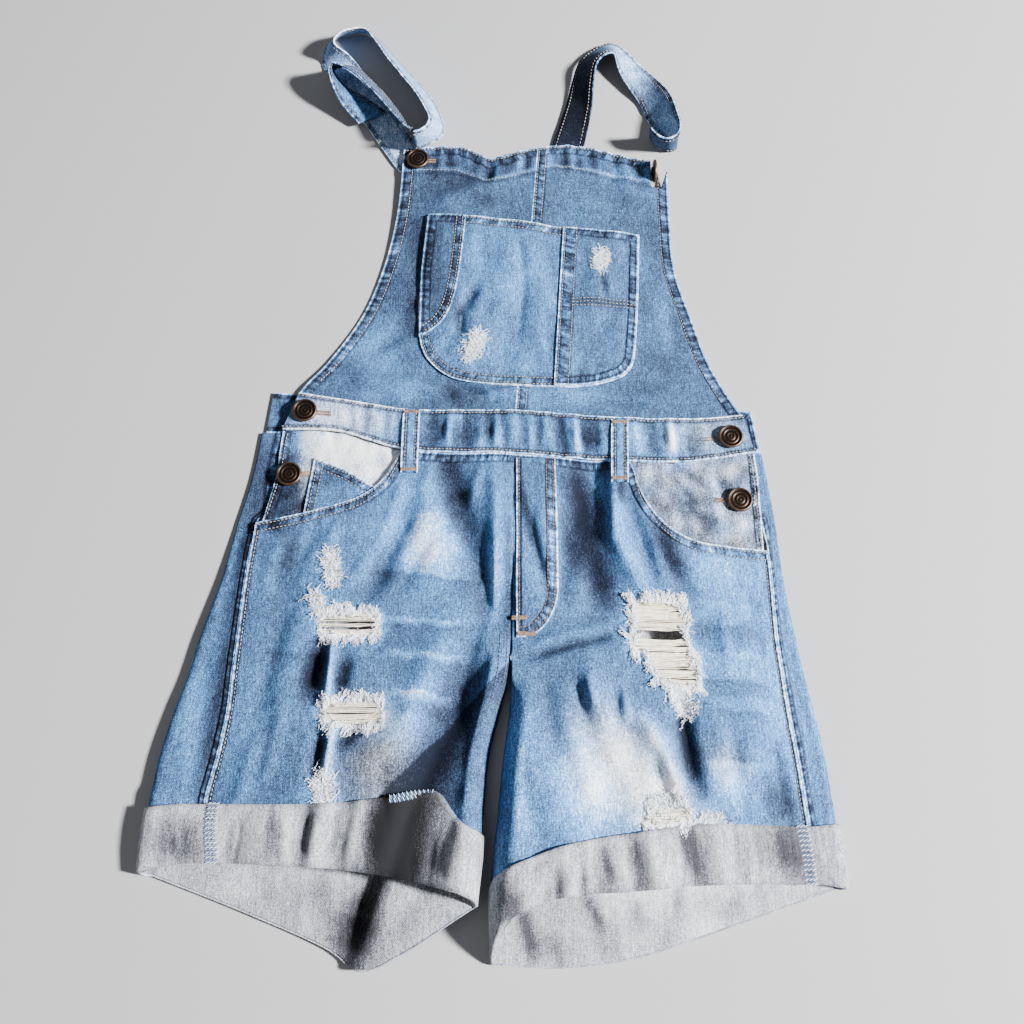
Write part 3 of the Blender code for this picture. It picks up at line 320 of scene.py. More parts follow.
def cloth_material(name, dyed, grain, ribs, roughness):
    """Cloth whose dye loss, with the painted shade laid in with it, in the piece's attribute "wash", picks
    its colour between new and bleached.
    """
    made, tree, shader = new_material(name, roughness)

    def painted(attribute):
        return put(tree, "ShaderNodeAttribute", attribute_name=attribute).outputs["Vector"]

    place = put(tree, "ShaderNodeTexCoord").outputs["Object"]
    weave = put(tree, "ShaderNodeGroup", {"Place": place}, node_tree=WEAVE).outputs
    hem = put(tree, "ShaderNodeGroup", {"Edge": painted("edge")}, node_tree=HEM).outputs
    wash_and_shade = put(tree, "ShaderNodeSeparateXYZ", {0: painted("wash_and_shade")}).outputs
    fade_and_shade = sums(tree, "MULTIPLY_ADD", weave["Unevenness"], grain, wash_and_shade[0])
    fade_and_shade = sums(tree, "MULTIPLY_ADD", weave["Mottle"], 0.2, fade_and_shade)
    fade_and_shade = sums(tree, "MULTIPLY_ADD", weave["Ribs"], ribs, sums(tree, "ADD", fade_and_shade, hem["Paleness"]))
    greyed = put(tree, "ShaderNodeMix", {"Factor": wash_and_shade[1]}, data_type="RGBA")
    for letter, stops in (("A", dyed), ("B", STONE)):
        tree.links.new(ramp(tree, fade_and_shade, stops), typed(greyed.inputs, "RGBA", letter))
    tree.links.new(typed(greyed.outputs, "RGBA", "Result"), shader.inputs["Base Color"])
    height = sums(tree, "ADD", weave["Relief"], hem["Relief"])
    bump = put(tree, "ShaderNodeBump", {"Height": height, "Distance": 0.0006, "Strength": 1.0})
    tree.links.new(bump.outputs[0], shader.inputs["Normal"])
    for key, value in (("Specular IOR Level", 0.05), ("Sheen Weight", 0.02), ("Sheen Roughness", 0.5)):
        shader.inputs[key].default_value = value
    return made


WRONG_SIDE_STOPS = [
    (0.0, (0.012, 0.012, 0.014)), (0.35, (0.07, 0.07, 0.082)), (0.6, (0.26, 0.27, 0.305)),
    (1.0, (0.86, 0.86, 0.87)),
]
DENIM = cloth_material("washed denim", INDIGO, 1.0, 0.12, 0.9)
WRONG_SIDE = cloth_material("denim wrong side", WRONG_SIDE_STOPS, 0.8, 0.22, 0.92)


AT_ONCE = 2000  # points to compare with a line at one time


def near(points, lines):
    """How far flat points are from the nearest of some lines, and how far along it that is."""
    away, run = np.full(len(points), 1e9), np.zeros(len(points))
    for line in lines:
        line = np.asarray(line, float)
        starts, steps = line[:-1], np.diff(line, axis=0)
        lengths = np.maximum(np.linalg.norm(steps, axis=1), 1e-9)
        begun = np.concatenate(([0], np.cumsum(lengths)[:-1]))
        for first in range(0, len(points), AT_ONCE):
            part = slice(first, first + AT_ONCE)
            p = points[part]
            t = np.clip(((p[:, None] - starts) * steps).sum(-1) / lengths ** 2, 0, 1)
            gap = np.linalg.norm(p[:, None] - starts - t[..., None] * steps, axis=-1)
            k = gap.argmin(axis=1)
            rows = np.arange(len(p))
            best = gap[rows, k]
            closer = best < away[part]
            run[part] = np.where(closer, begun[k] + t[rows, k] * lengths[k], run[part])
            away[part] = np.where(closer, best, away[part])
    return away, run


def unrest(x, y, wave, seed, stretch=1.0):
    """Soft irregular waves about nought, roughly wave long, for cloth that is nowhere quite flat."""
    chance = np.random.default_rng(seed)
    total = 0.0
    for _ in range(9):
        angle, length = chance.uniform(0, math.tau), wave * chance.uniform(0.7, 1.6)
        total = total + np.sin((x * math.cos(angle) + y * stretch * math.sin(angle)) * math.tau / length
                               + chance.uniform(0, math.tau))
    return total / 4.2


def strokes(table, x, y):
    """Soft strokes, each a line with its half width and its amount, less at its ends."""
    total = np.zeros(np.broadcast(x, y).shape)
    for x0, y0, x1, y1, width, amount in table:
        run = (x1 - x0) ** 2 + (y1 - y0) ** 2 + 1e-9
        t = np.clip(((x - x0) * (x1 - x0) + (y - y0) * (y1 - y0)) / run, 0, 1)
        away = np.hypot(x - mix(x0, x1, t), y - mix(y0, y1, t))
        total += amount * np.exp(-((away / width) ** 2)) * (0.55 + 0.45 * ease(4 * np.minimum(t, 1 - t)))
    return total


def cloth_piece(name, points, polygons, which, fade_and_shade, cast, edge):
    """A cloth mesh with its right and wrong side, its wash with painted shade and its edges, as a piece of
    the garment.
    """
    points[:, 2] = np.maximum(points[:, 2], 0)
    mesh = bpy.data.meshes.new(name)
    mesh.from_pydata(((points + WAIST_IN_PART) * MM).tolist(), [], polygons)
    mesh.materials.append(DENIM)
    mesh.materials.append(WRONG_SIDE)
    mesh.polygons.foreach_set("material_index", which)
    for kind, values in (("wash_and_shade", np.stack([fade_and_shade, cast, 0 * fade_and_shade], axis=1)), ("edge", edge)):
        painted = mesh.attributes.new(kind, "FLOAT_VECTOR", "POINT")
        painted.data.foreach_set("vector", values.astype(np.float32).ravel())
    mesh.shade_smooth()
    made = bpy.data.objects.new(name, mesh)
    bpy.context.collection.objects.link(made)
    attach(made, "root")
    return made


def sewn_shell(name, outer, inner, faces, fade_and_shade, cast, edge):
    """A thin closed wall between two skins of the same faces."""
    count = len(outer)
    corners = outer[faces[:, :3]]
    facing = np.cross(corners[:, 1] - corners[:, 0], corners[:, 2] - corners[:, 0])
    if (facing * (outer - inner)[faces[:, 0]]).sum() < 0:
        faces = faces[:, ::-1]
    starts, ends = faces.ravel(), np.roll(faces, -1, axis=1).ravel()
    rim = ~np.isin(starts * count + ends, ends * count + starts)
    a, b = starts[rim], ends[rim]
    walls = np.stack([b, a, a + count, b + count], axis=1)
    polygons = faces.tolist() + (faces[:, ::-1] + count).tolist() + walls.tolist()
    which = np.zeros(len(polygons), np.int32)
    which[len(faces):2 * len(faces)] = 1
    made = cloth_piece(name, np.concatenate([outer, inner]), polygons, which, np.tile(fade_and_shade, 2),
                       np.tile(cast, 2), np.tile(edge, (2, 1)))
    made.data.set_sharp_from_angle(angle=math.radians(55))
    return made


def directions(place, u, v, step_u, step_v):
    """Unit normals of place(u, v), from small steps each way."""
    along = place(u + step_u, v) - place(u - step_u, v)
    across = place(u, v + step_v) - place(u, v - step_v)
    up = np.cross(along, across)
    return up / np.maximum(np.linalg.norm(up, axis=-1, keepdims=True), 1e-12)


def lattice(us, vs):
    """A grid's values, flattened, and its quads."""
    u, v = (a.ravel() for a in np.meshgrid(us, vs))
    n, m = len(us), len(vs)
    corner = (np.arange(m - 1)[:, None] * n + np.arange(n - 1)).ravel()
    return u, v, np.stack([corner, corner + 1, corner + n + 1, corner + n], axis=1)


# Painted shade on the backs: a shadow cast in the left leg opening, shade along the left side seam and in the
# creases inside the legs, with a few paler patches
BACK_FADES_AND_SHADING = [
    (-224, -30, -226, -120, 12, -0.2), (-98, -384, -118, -420, 12, -0.3),
    (-116, -416, -124, -446, 18, -0.46), (54, -404, 66, -426, 4, -0.28), (92, -408, 94, -424, 6, -0.14),
    (126, -396, 124, -414, 4, -0.18), (4, -412, 14, -446, 6, -0.3), (-60, -390, -84, -428, 8, -0.12),
    (-150, -396, -140, -430, 8, -0.1), (-200, -388, -180, -410, 7, -0.06), (60, -420, 74, -452, 8, -0.1),
    (120, -414, 118, -444, 9, -0.08), (170, -402, 160, -426, 8, -0.1), (30, -436, 36, -456, 6, -0.14),
    (-228, -190, -246, -330, 9, -0.26), (-226, -120, -232, -190, 8, -0.2),
    (-262, -230, -250, -330, 12, 0.1), (232, -150, 246, -300, 10, 0.06), (-120, -300, -100, -420, 30, 0.1),
    (120, -300, 130, -420, 50, 0.12),
]
INSIDE_PALER, OUTSEAM_HEM = {LEFT: 0.12, RIGHT: 0.14}, 7.0
for side in SIDES:
    surface = lambda s, d, side=side: back_on(side, np.clip(s, 0, 1), np.clip(d, 0, 2))
    on_top, round_side = np.linspace(0, TOP_PART, 9)[:-1], np.linspace(TOP_PART, ROLL_PART, 13)[:-1]
    shares = np.concatenate([on_top, round_side, np.linspace(ROLL_PART, 1, 64)])
    u, v, quads = lattice(shares, np.concatenate([np.linspace(0, 1, 80)[:-1], np.linspace(1, 2, 24)]))
    outer = surface(u, v)
    ups = directions(surface, u, v, 0.003, 0.01)
    ups *= -OUTWARD[side]
    x, y = outer[:, 0], outer[:, 1]
    hollow = unrest(x, y, 55, 5) * ease((u - ROLL_PART) / 0.15) * ease((1 - u) / 0.1)
    away = u / TOP_PART * np.abs(HALF[side].at("out", y) - HALF[side].at("seam", y))
    fade_and_shade = 0.5 + 0.03 * unrest(x * 4, y * 0.25, 26, 8) + 1.3 * strokes(BACK_FADES_AND_SHADING, x, y) + 0.06 * hollow
    fade_and_shade = np.where(u > ROLL_PART, fade_and_shade + INSIDE_PALER[side], fade_and_shade)
    edge = np.stack([-y, away, np.where(u < TOP_PART, OUTSEAM_HEM, 0.0)], axis=1)
    back = sewn_shell(f"cloth_back_{side}", outer, outer - ups * CLOTH, quads, fade_and_shade, 0 * fade_and_shade, edge)
    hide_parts(f"back_{side}")

# The back waistband and the back's bib: a straight doubled band and a plain tapered panel, flat under the
# front ones. Only the band's left end shows, past the front, and the panel shows from behind alone.
def inside(points, loop):
    loop = np.asarray(loop)
    ahead = np.roll(loop, -1, axis=0)
    found = np.zeros(len(points), bool)
    for (x0, y0), (x1, y1) in zip(loop, ahead):
        if y0 != y1:
            crosses = (y0 > points[:, 1]) != (y1 > points[:, 1])
            found ^= crosses & (points[:, 0] < x0 + (points[:, 1] - y0) * (x1 - x0) / (y1 - y0))
    return found


def through(corners, cell):
    """Points cell apart on straight lines round some corners, back to the first."""
    corners = np.asarray(corners, float)
    parts = []
    for a, b in zip(corners, np.roll(corners, -1, axis=0)):
        n = max(1, round(float(np.linalg.norm(b - a)) / cell))
        parts.append(a + (b - a) * (np.arange(n) / n)[:, None])
    return np.concatenate(parts)


def row(corners, cell=3.0):
    """Points cell apart on straight lines from the first corner to the last."""
    corners = np.asarray(corners, float)
    parts = [through([a, b], cell)[:max(1, round(float(np.linalg.norm(b - a)) / cell))]
             for a, b in zip(corners, corners[1:])]
    return np.concatenate([*parts, corners[-1:]])


def softened(line, times=2):
    """An open line with its corners rounded off."""
    line = np.asarray(line, float)
    for _ in range(times):
        cut = np.empty((2 * (len(line) - 1), 2))
        cut[0::2], cut[1::2] = mix(line[:-1], line[1:], 0.25), mix(line[:-1], line[1:], 0.75)
        line = np.concatenate([line[:1], cut, line[-1:]])
    return line


def panel(name, outline, place, thick, cell=3.2, holes=(), hems=(), hem_wide=8.0, wash_and_shade=None, cast=None,
          shift=0.0):
    """A cut panel: its flat outline less its holes, laid on place. The hems are its sewn edges."""
    rims = [np.asarray(outline), *[np.asarray(h) for h in holes]]
    fixed = np.concatenate(rims)
    bonds, start = [], 0
    for loop in rims:
        n = len(loop)
        bonds += [(start + i, start + (i + 1) % n) for i in range(n)]
        start += n
    low, high = rims[0].min(axis=0), rims[0].max(axis=0)
    n, m = (max(2, round(float(s) / cell)) for s in (high - low))
    i, j = (a.ravel() for a in np.meshgrid(np.arange(1, n), np.arange(1, m)))
    across, up = (i + (j % 2) * 0.5 - 0.25) / n, j / m
    free = np.stack([mix(low[0], high[0], across), mix(low[1], high[1], up)], axis=1)
    free = free[inside(free, rims[0])]
    ring = [np.concatenate([loop, loop[:1]]) for loop in rims]
    free = free[near(free, ring)[0] > cell * 0.45]
    points = [Vector(p) for p in np.concatenate([fixed, free]).tolist()]
    flat, _, faces, *_ = geometry.delaunay_2d_cdt(points, bonds, [], 1, 1e-5)
    flat = np.array([tuple(p) for p in flat])
    faces = np.array([list(f) for f in faces if len(f) == 3])
    centres = flat[faces].mean(axis=1)
    kept = inside(centres, rims[0])
    for hole in rims[1:]:
        kept &= ~inside(centres, hole)
    used, faces = np.unique(faces[kept], return_inverse=True)
    flat, faces = flat[used], faces.reshape(-1, 3)
    middle = place(flat[:, 0], flat[:, 1])
    ups = directions(place, flat[:, 0], flat[:, 1], 0.8, 0.8)
    if ups[:, 2].mean() < 0:
        ups = -ups
    away, run, wide = np.full(len(flat), 99.0), np.zeros(len(flat)), np.zeros(len(flat))
    for hem, hem_width in zip(hems, np.broadcast_to(hem_wide, len(hems))):
        gap, along = near(flat, [hem])
        closer = gap < away
        away, run = np.where(closer, gap, away), np.where(closer, along, run)
        wide = np.where(closer, hem_width, wide)
    x, y = middle[:, 0], middle[:, 1]
    fade_and_shade = wash_and_shade(x, y)
    grey = np.clip(cast(x, y), 0, 1) if cast else 0 * x
    outer, inner = middle + ups * shift, middle + ups * (shift - thick)
    return sewn_shell(name, outer, inner, faces, fade_and_shade, grey, np.stack([run, away, wide], axis=1))


BACK_BAND = [(-218, 22), (-120, 12), (212, 3), (217, -37.6), (-222, -17.4)]
BACK_BIB = [(-150, 20.6), (150, 6.4), (76, 217.7), (-64, 217.7)]
band = panel("cloth_waistband_back", through(BACK_BAND, 4), lambda x, y: spot(x, y, DOUBLE_CLOTH),
             DOUBLE_CLOTH, 6.0, hems=[row(BACK_BAND, 4)], hem_wide=5.0,
             wash_and_shade=lambda x, y: 0.42 + 0.05 * unrest(x * 2, y * 0.4, 22, 3))
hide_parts("waistband_back")
bib_behind = panel("cloth_bib_back", through(BACK_BIB, 4), lambda x, y: spot(x, y, CLOTH), CLOTH, 6.0,
                   hems=[row(BACK_BIB + BACK_BIB[:1], 4)],
                   wash_and_shade=lambda x, y: 0.45 + 0.05 * unrest(x, y, 60, 4))
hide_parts("bib_back")

# The fronts: one panel to each leg, from the outseam to the centre front and the inner leg, in soft folds,
# with whiskers and bleached patches washed in, painted shade, shadows and highlights about the folds, and
# rips cut through to their white weft threads.
WAIST_TOP = Table("x y", [(-196, 20), (-139, 10), (-99, 3), (0, 1), (85, -5), (165, -6), (206, -2)])
WAIST_BOTTOM = Table("x y", [
    (-208, -17), (-156, -19), (-102, -36), (0, -42), (83, -48), (154, -48), (214, -38)])
POCKET_EDGE = {
    LEFT: Table("x y", [(-230, -106), (-185, -97), (-151, -88), (-130, -79), (-113, -64), (-99, -37)]),
    RIGHT: Table("x y", [
        (102, -49), (106, -68), (112, -84), (129, -107), (149, -120), (183, -127), (225, -130)]),
}
POCKET_CORNER = {LEFT: -99.0, RIGHT: 102.0}
CUFF_TOP = {
    LEFT: Table("share y", [
        (0, -337), (0.45, -336), (0.58, -332), (0.68, -327), (0.76, -329), (0.84, -350), (1, -363)]),
    RIGHT: Table("share y", [(0, -354), (0.3, -352), (0.5, -358), (0.7, -367), (0.86, -383), (1, -401)]),
}
INNER_ROLL = {LEFT: 15.0, RIGHT: 17.0}
FRONT_FLAT, FRONT_SPREAD = 0.84, 250.0
MAIN_FOLDS = [
    (-17, -48, -12, -175, 9, 6.0), (-62, -44, -50, -86, 10, -5.0), (-50, -86, -32, -145, 11, -6.5),
    (-30, -145, -25, -186, 9, -4.5), (-88, -90, -121, -170, 9, -5.0), (-76, -92, -68, -160, 15, 3.5),
    (-150, -130, -180, -240, 22, 3.0), (-52, -190, -104, -300, 18, 4.5), (-148, -206, -150, -258, 4.0, 4.0),
    (-36, -230, -80, -338, 14, -8.5), (-64, -226, -110, -330, 12, 4.0), (-80, -338, -94, -395, 14, -3.5),
    (-12, -214, -33, -330, 9.5, 11.0), (-33, -330, -46, -395, 11, 7.0), (-160, -216, -167, -250, 9, -6.5),
    (-137, -224, -140, -247, 6, -4.5), (-143, -278, -148, -312, 5, 4.0), (-154, -286, -156, -312, 6, -4.5),
    (-128, -277, -138, -294, 7, -4.5), (-98, -300, -110, -340, 9, -3.0), (85, -52, 84, -120, 8, 7.0),
    (84, -120, 108, -172, 8, 5.5), (64, -62, 54, -125, 18, -7.5), (54, -125, 72, -172, 15, -6.5),
    (34, -60, 22, -190, 12, 3.0), (60, -226, 72, -290, 13, 4.0), (100, -272, 136, -338, 8, 6.5),
    (131, -258, 139, -328, 7.5, -8.0), (108, -296, 116, -332, 8, -5.5), (86, -282, 98, -330, 12, -3.0),
    (180, -150, 190, -300, 16, 3.5), (15, -300, 40, -360, 16, 3.5), (160, -268, 168, -335, 9, 3.0),
]
SMALL_FOLDS = [
    (-30, -52, -38, -90, 5, 1.8), (-56, -96, -50, -130, 5, 1.6), (-72, -48, -80, -80, 6, 1.6),
    (-96, -70, -110, -112, 6, 1.8), (-104, -110, -138, -160, 6, 1.8), (-70, -120, -98, -170, 6, -1.5),
    (-26, -110, -22, -180, 5, -1.6), (-8, -190, -14, -250, 5, -1.8), (-20, -196, -34, -240, 6, 2.2),
    (-104, -310, -98, -350, 6, -1.8), (-190, -180, -205, -260, 8, -1.8),
    (-200, -120, -212, -170, 7, 1.6), (-205, -290, -215, -335, 8, 1.4), (-168, -255, -196, -262, 5, 1.4),
    (-170, -112, -186, -150, 6, -1.5), (-150, -104, -160, -130, 5, 1.3), (-186, -268, -194, -320, 6, 1.6),
    (4, -70, 27, -168, 4.5, -3.0), (-2, -90, 14, -170, 5, 1.5), (44, -56, 50, -96, 6, 2.2),
    (60, -130, 52, -178, 6, 1.6), (44, -120, 38, -175, 5, -2.0), (96, -84, 116, -150, 6, -2.6),
    (112, -116, 126, -168, 6, 1.8), (124, -138, 150, -176, 6, -1.5), (14, -223, 42, -213, 3.6, -3.2),
    (42, -213, 74, -207, 3.6, -3.0), (16, -213, 44, -204, 4.5, 2.6), (44, -204, 74, -199, 4.5, 2.2),
    (48, -242, 54, -270, 4.5, -2.4), (58, -240, 62, -266, 4, 2.2), (80, -252, 80, -274, 4, -2.8),
    (86, -250, 88, -272, 4, 1.6), (62, -290, 84, -340, 7, -2.0), (40, -270, 60, -340, 8, 2.2),
    (120, -296, 130, -335, 5, -2.0), (172, -292, 178, -346, 6, -2.0), (196, -170, 202, -240, 6, -1.6),
    (170, -180, 172, -240, 6, 1.4), (-2, -262, 8, -340, 6, -1.8), (152, -232, 200, -236, 5, 1.2),
    (150, -252, 200, -256, 4, -1.2), (24, -240, 30, -300, 7, -1.6), (206, -290, 214, -346, 5, -2.4),
]


def front_height_of(side, x, y):
    """The top of the front's cloth, between the outseam and the inner edge, with its folds."""
    half = HALF[side]
    seam, inner = half.at("seam", y), half.at("inner", y)
    t = np.clip((x - seam) / (inner - seam), 0, 1)
    z_seam, z_mid, z_inner = (half.at(c, y) for c in ("z_seam", "z_mid", "z_inner"))
    arch = z_seam * (1 - t) * (1 - 2 * t) + z_mid * 4 * t * (1 - t) + z_inner * t * (2 * t - 1)
    rumple = 1.1 * strokes(MAIN_FOLDS, x, y) + 1.35 * strokes(SMALL_FOLDS, x, y)
    rumple += 0.75 * unrest(x, y * 0.7, 42, 21) + 0.22 * unrest(x, y, 15, 22)
    return arch + rumple * ease(t / 0.12) * ease(-(y + 20) / 40)


def front_height(x, y):
    x, y = np.broadcast_arrays(np.asarray(x, float), np.asarray(y, float))
    return np.where(x < HALF[LEFT].at("inner", y), front_height_of(LEFT, x, y), front_height_of(RIGHT, x, y))


def front_point(side, share, y):
    """Points of a front's outer face: share 0 is at the outseam and 1 at the inner edge."""
    half, out = HALF[side], OUTWARD[side]
    share, y = np.broadcast_arrays(np.clip(np.asarray(share, float), 0, 1), np.asarray(y, float))
    seam, inner = half.at("seam", y), half.at("inner", y)
    turn = inner + out * INNER_ROLL[side]
    flat_x = mix(seam, turn, np.clip(share / FRONT_FLAT, 0, 1))
    angle = np.clip((share - FRONT_FLAT) / (1 - FRONT_FLAT), 0, 1) * math.pi / 2
    back_edge = np.maximum(half.at("rise", y), 0) + cuff_lift(side, 1.0, y)
    low = mix(half.at("z_inner", y), back_edge + CLOTH + 3 * GAP, ease((-235 - y) / 29))
    high = front_height_of(side, turn, y)
    on_flat = share <= FRONT_FLAT
    x = np.where(on_flat, flat_x, mix(turn, inner, np.sin(angle)))
    z = np.where(on_flat, front_height_of(side, flat_x, y), mix(low, high, np.cos(angle)))
    return spot(x + out * GAP / 2, y, z)


def share_of(side, x, y):
    half = HALF[side]
    seam, inner = half.at("seam", y), half.at("inner", y)
    turn = inner + OUTWARD[side] * INNER_ROLL[side]
    flat = (x - seam) / (turn - seam)
    rolled = np.arcsin(np.clip((x - turn) / (inner - turn), 0, 1)) / (math.pi / 2)
    return np.where(flat <= 1, flat * FRONT_FLAT, mix(FRONT_FLAT, 1, rolled))


def front_top(side, share):
    y = np.full(np.shape(share), -60.0)
    for _ in range(8):
        x = front_point(side, share, y)[..., 0]
        outside = x < POCKET_CORNER[LEFT] if side == LEFT else x > POCKET_CORNER[RIGHT]
        y = np.where(outside, POCKET_EDGE[side].at("y", x), WAIST_BOTTOM.at("y", x) - 2 * GAP)
    return y


def ragged(corners, cell, rough, seed):
    """A torn outline: points cell apart round some corners, each a little off its place."""
    loop = through(corners, cell)
    return loop + np.random.default_rng(seed).uniform(-rough, rough, loop.shape)


RIPS = {
    LEFT: [
        [(-160, -190), (-146, -187), (-126, -188), (-113, -189), (-112, -202), (-128, -205), (-150, -204),
         (-160, -201)],
        [(-152, -261), (-130, -259), (-107, -260), (-105, -273), (-124, -276), (-146, -275), (-153, -270)],
    ],
    RIGHT: [
        [(94, -178), (116, -176), (138, -179), (139, -212), (147, -222), (147, -246), (128, -248),
         (112, -238), (108, -221), (95, -217)],
        [(96, -350), (108, -341), (128, -340), (134, -348), (120, -352), (106, -354)],
    ],
}
# Bleached patches worn into the fronts, and with them painted shade in the fold troughs, painted shadows cast
# by the big folds and painted highlights along some fold crests
FADES_AND_SHADING = [
    (-78, -90, -70, -150, 36, 0.3), (-150, -325, -160, -335, 12, 0.05), (-96, -300, -70, -340, 18, -0.1),
    (-190, -190, -215, -320, 24, 0.05), (-176, -120, -200, -160, 20, 0.04), (-20, -60, -14, -190, 8, 0.1),
    (-170, -110, -100, -110, 14, 0.05), (72, -288, 116, -345, 25, 0.36), (52, -318, 78, -352, 20, 0.2),
    (158, -318, 184, -334, 14, 0.1), (36, -290, 56, -350, 24, 0.16), (206, -140, 218, -340, 16, 0.14),
    (90, -70, 98, -150, 10, 0.08), (20, -75, 22, -150, 12, 0.08), (45, -215, 65, -240, 22, -0.04),
    (150, -140, 190, -156, 26, 0.16), (176, -196, 200, -330, 24, 0.08), (-24, -222, -60, -290, 13, -0.12),
    (-60, -290, -92, -345, 14, -0.1), (-88, -86, -122, -168, 8, -0.1), (-60, -44, -52, -92, 11, -0.3),
    (-42, -90, -28, -180, 11, -0.1), (50, -56, 58, -106, 9, -0.4), (58, -106, 74, -176, 10, -0.26),
    (70, -58, 73, -84, 6, 0.24), (89, -54, 91, -84, 5, -0.42), (122, -114, 138, -150, 8, -0.42),
    (45, -110, 52, -150, 7, -0.2), (30, -110, 32, -170, 4, 0.1), (62, -262, 64, -280, 5, -0.14),
    (196, -325, 212, -348, 14, -0.26), (110, -280, 120, -310, 12, 0.08), (158, -300, 160, -335, 7, 0.1),
    (131, -262, 138, -318, 5, -0.36), (110, -300, 116, -330, 5, -0.12), (-160, -214, -167, -252, 9, -0.5),
    (-138, -226, -141, -249, 5, -0.4), (-153, -286, -156, -312, 5, -0.34),
    (-128, -277, -137, -293, 5, -0.3), (-148, -212, -149, -256, 2.6, 0.26),
    (-143, -280, -148, -312, 3.4, 0.3), (-82, -100, -86, -250, 16, 0.08), (-54, -92, -46, -118, 9, -0.22),
    (-20, -130, -18, -190, 5, 0.24), (-6, -100, -6, -206, 3, -0.14), (-212, -100, -200, -112, 6, -0.36),
    (-190, -120, -192, -150, 8, -0.24), (4, -262, 6, -370, 10, 0.26), (14, -223, 74, -207, 3, -0.14),
    (100, -274, 128, -336, 5, 0.2), (85, -56, 84, -120, 4, 0.12), (-30, -262, -44, -340, 8, 0.06),
    (4, -75, 27, -165, 4, -0.24), (206, -290, 214, -346, 4, -0.1), (-40, -190, -96, -290, 12, 0.06),
]
# Whisker bands across the thighs; on the left, the wide dark band from (-118, -344) to (30, -190) is a
# painted shadow cast by the fold at the crotch.
WHISKERS_AND_SHADOW = {
    LEFT: [
        (-122, -146, -24, -160, 24, -0.2), (-114, -188, -30, -193, 4, 0.27),
        (-112, -194, -26, -199, 18, -0.13), (-118, -344, 30, -190, 120, -0.32),
        (-110, -216, -32, -222, 4, 0.26), (-106, -222, -30, -229, 18, -0.13),
        (-102, -248, -42, -254, 5, 0.25), (-102, -256, -46, -262, 12, -0.12),
        (-116, -266, -36, -273, 30, 0.08), (-206, -216, -172, -220, 10, -0.07),
    ],
    RIGHT: [
        (144, -172, 210, -180, 10, 0.13), (142, -194, 208, -198, 16, -0.12),
        (146, -216, 212, -220, 6, 0.13), (142, -238, 214, -244, 12, -0.19), (148, -252, 214, -256, 6, 0.12),
        (150, -262, 214, -268, 16, -0.12), (144, -303, 206, -306, 40, 0.16), (26, -176, 84, -182, 8, 0.07),
    ],
}
GREYED = [(-112, -288, -98, -335, 27, 0.9), (66, -282, 112, -340, 26, 0.95), (152, -300, 175, -312, 14, 0.4)]
FRINGE_WASH = 0.5
FUZZ = {
    LEFT: [
        (-156, -134, -150, -160, 6, 380), (-152, -316, -144, -336, 9, 420),
        (-168, -170, -158, -186, 6, 160),
    ],
    RIGHT: [
        (126, -250, 138, -268, 7, 320), (108, -338, 124, -336, 10, 360), (138, -352, 158, -350, 6, 260),
    ],
}


def bands(table, x, y):
    """Level bands, each crisp along its upper edge and fading below it and at its ends: worn whiskers, and
    one painted shadow.
    """
    total = np.zeros(np.broadcast(x, y).shape)
    for x0, y0, x1, y1, deep, amount in table:
        t = (x - x0) / (x1 - x0)
        below = mix(y0, y1, t) + 1.2 * unrest(x, 0, 16, 34) - y
        shape = ease(below / 1.6) * np.exp(-np.maximum(below, 0) / deep)
        total += amount * shape * ease(t / 0.2) * ease((1 - t) / 0.3)
    return total


FRONT_WASH, HALO_REACH = 0.473, 3.6


def front_wash_and_shade(side):
    torn = [np.asarray(r + r[:1], float) for r in RIPS[side]]

    def wash_and_shade(x, y):
        halo = np.exp(-near(np.stack([x, y], axis=1), torn)[0] / HALO_REACH)
        scuffed = sum(np.exp(-((x - (x0 + x1) / 2) ** 2 + (0.6 * (y - (y0 + y1) / 2)) ** 2) / wide ** 2)
                      for x0, y0, x1, y1, wide, _ in FUZZ[side])
        # Fold crests paler and troughs darker, partly from wear and partly painted shade; worn holds the
        # fades and whiskers with their painted shade, shadows and highlights
        ridges = strokes(MAIN_FOLDS, x, y) * 0.016 + strokes(SMALL_FOLDS, x, y) * 0.03
        worn = strokes(FADES_AND_SHADING, x, y) + bands(WHISKERS_AND_SHADOW[side], x, y)
        frayed = FRINGE_WASH * np.maximum(halo, scuffed)
        return FRONT_WASH + worn + frayed + ridges + 0.04 * unrest(x, y * 0.6, 60, 33)

    return wash_and_shade


FRONT_HEMS, FLY_HEMS = (8.5, 3.0, 4.4), (8.5, 3.0)
shares = np.linspace(0, 1, 86)
front_tops = {}
for side in SIDES:
    top = np.stack([shares * FRONT_SPREAD, front_top(side, shares)], axis=1)
    hem = np.stack([shares[::-1] * FRONT_SPREAD, HEM_FRONT[side].at("y", shares[::-1])], axis=1)
    down, up = row([top[-1], hem[0]], 3.2), row([hem[-1], top[0]], 3.2)
    torn = []
    for seed, rip in enumerate(RIPS[side]):
        loop = ragged(rip, 2.0, 0.9, 40 + seed)
        torn.append(np.stack([share_of(side, loop[:, 0], loop[:, 1]) * FRONT_SPREAD, loop[:, 1]], axis=1))
    front_tops[side] = top
    place = lambda u, v, side=side: front_point(side, np.asarray(u) / FRONT_SPREAD, v)
    outline = np.concatenate([top[:-1], down[:-1], hem[:-1], up[:-1]])
    front = panel(f"cloth_front_{side}", outline, place, CLOTH, 2.1, torn, [top, up, down], FRONT_HEMS,
                  front_wash_and_shade(side), lambda x, y: strokes(GREYED, x, y))
    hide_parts(f"front_{side}")

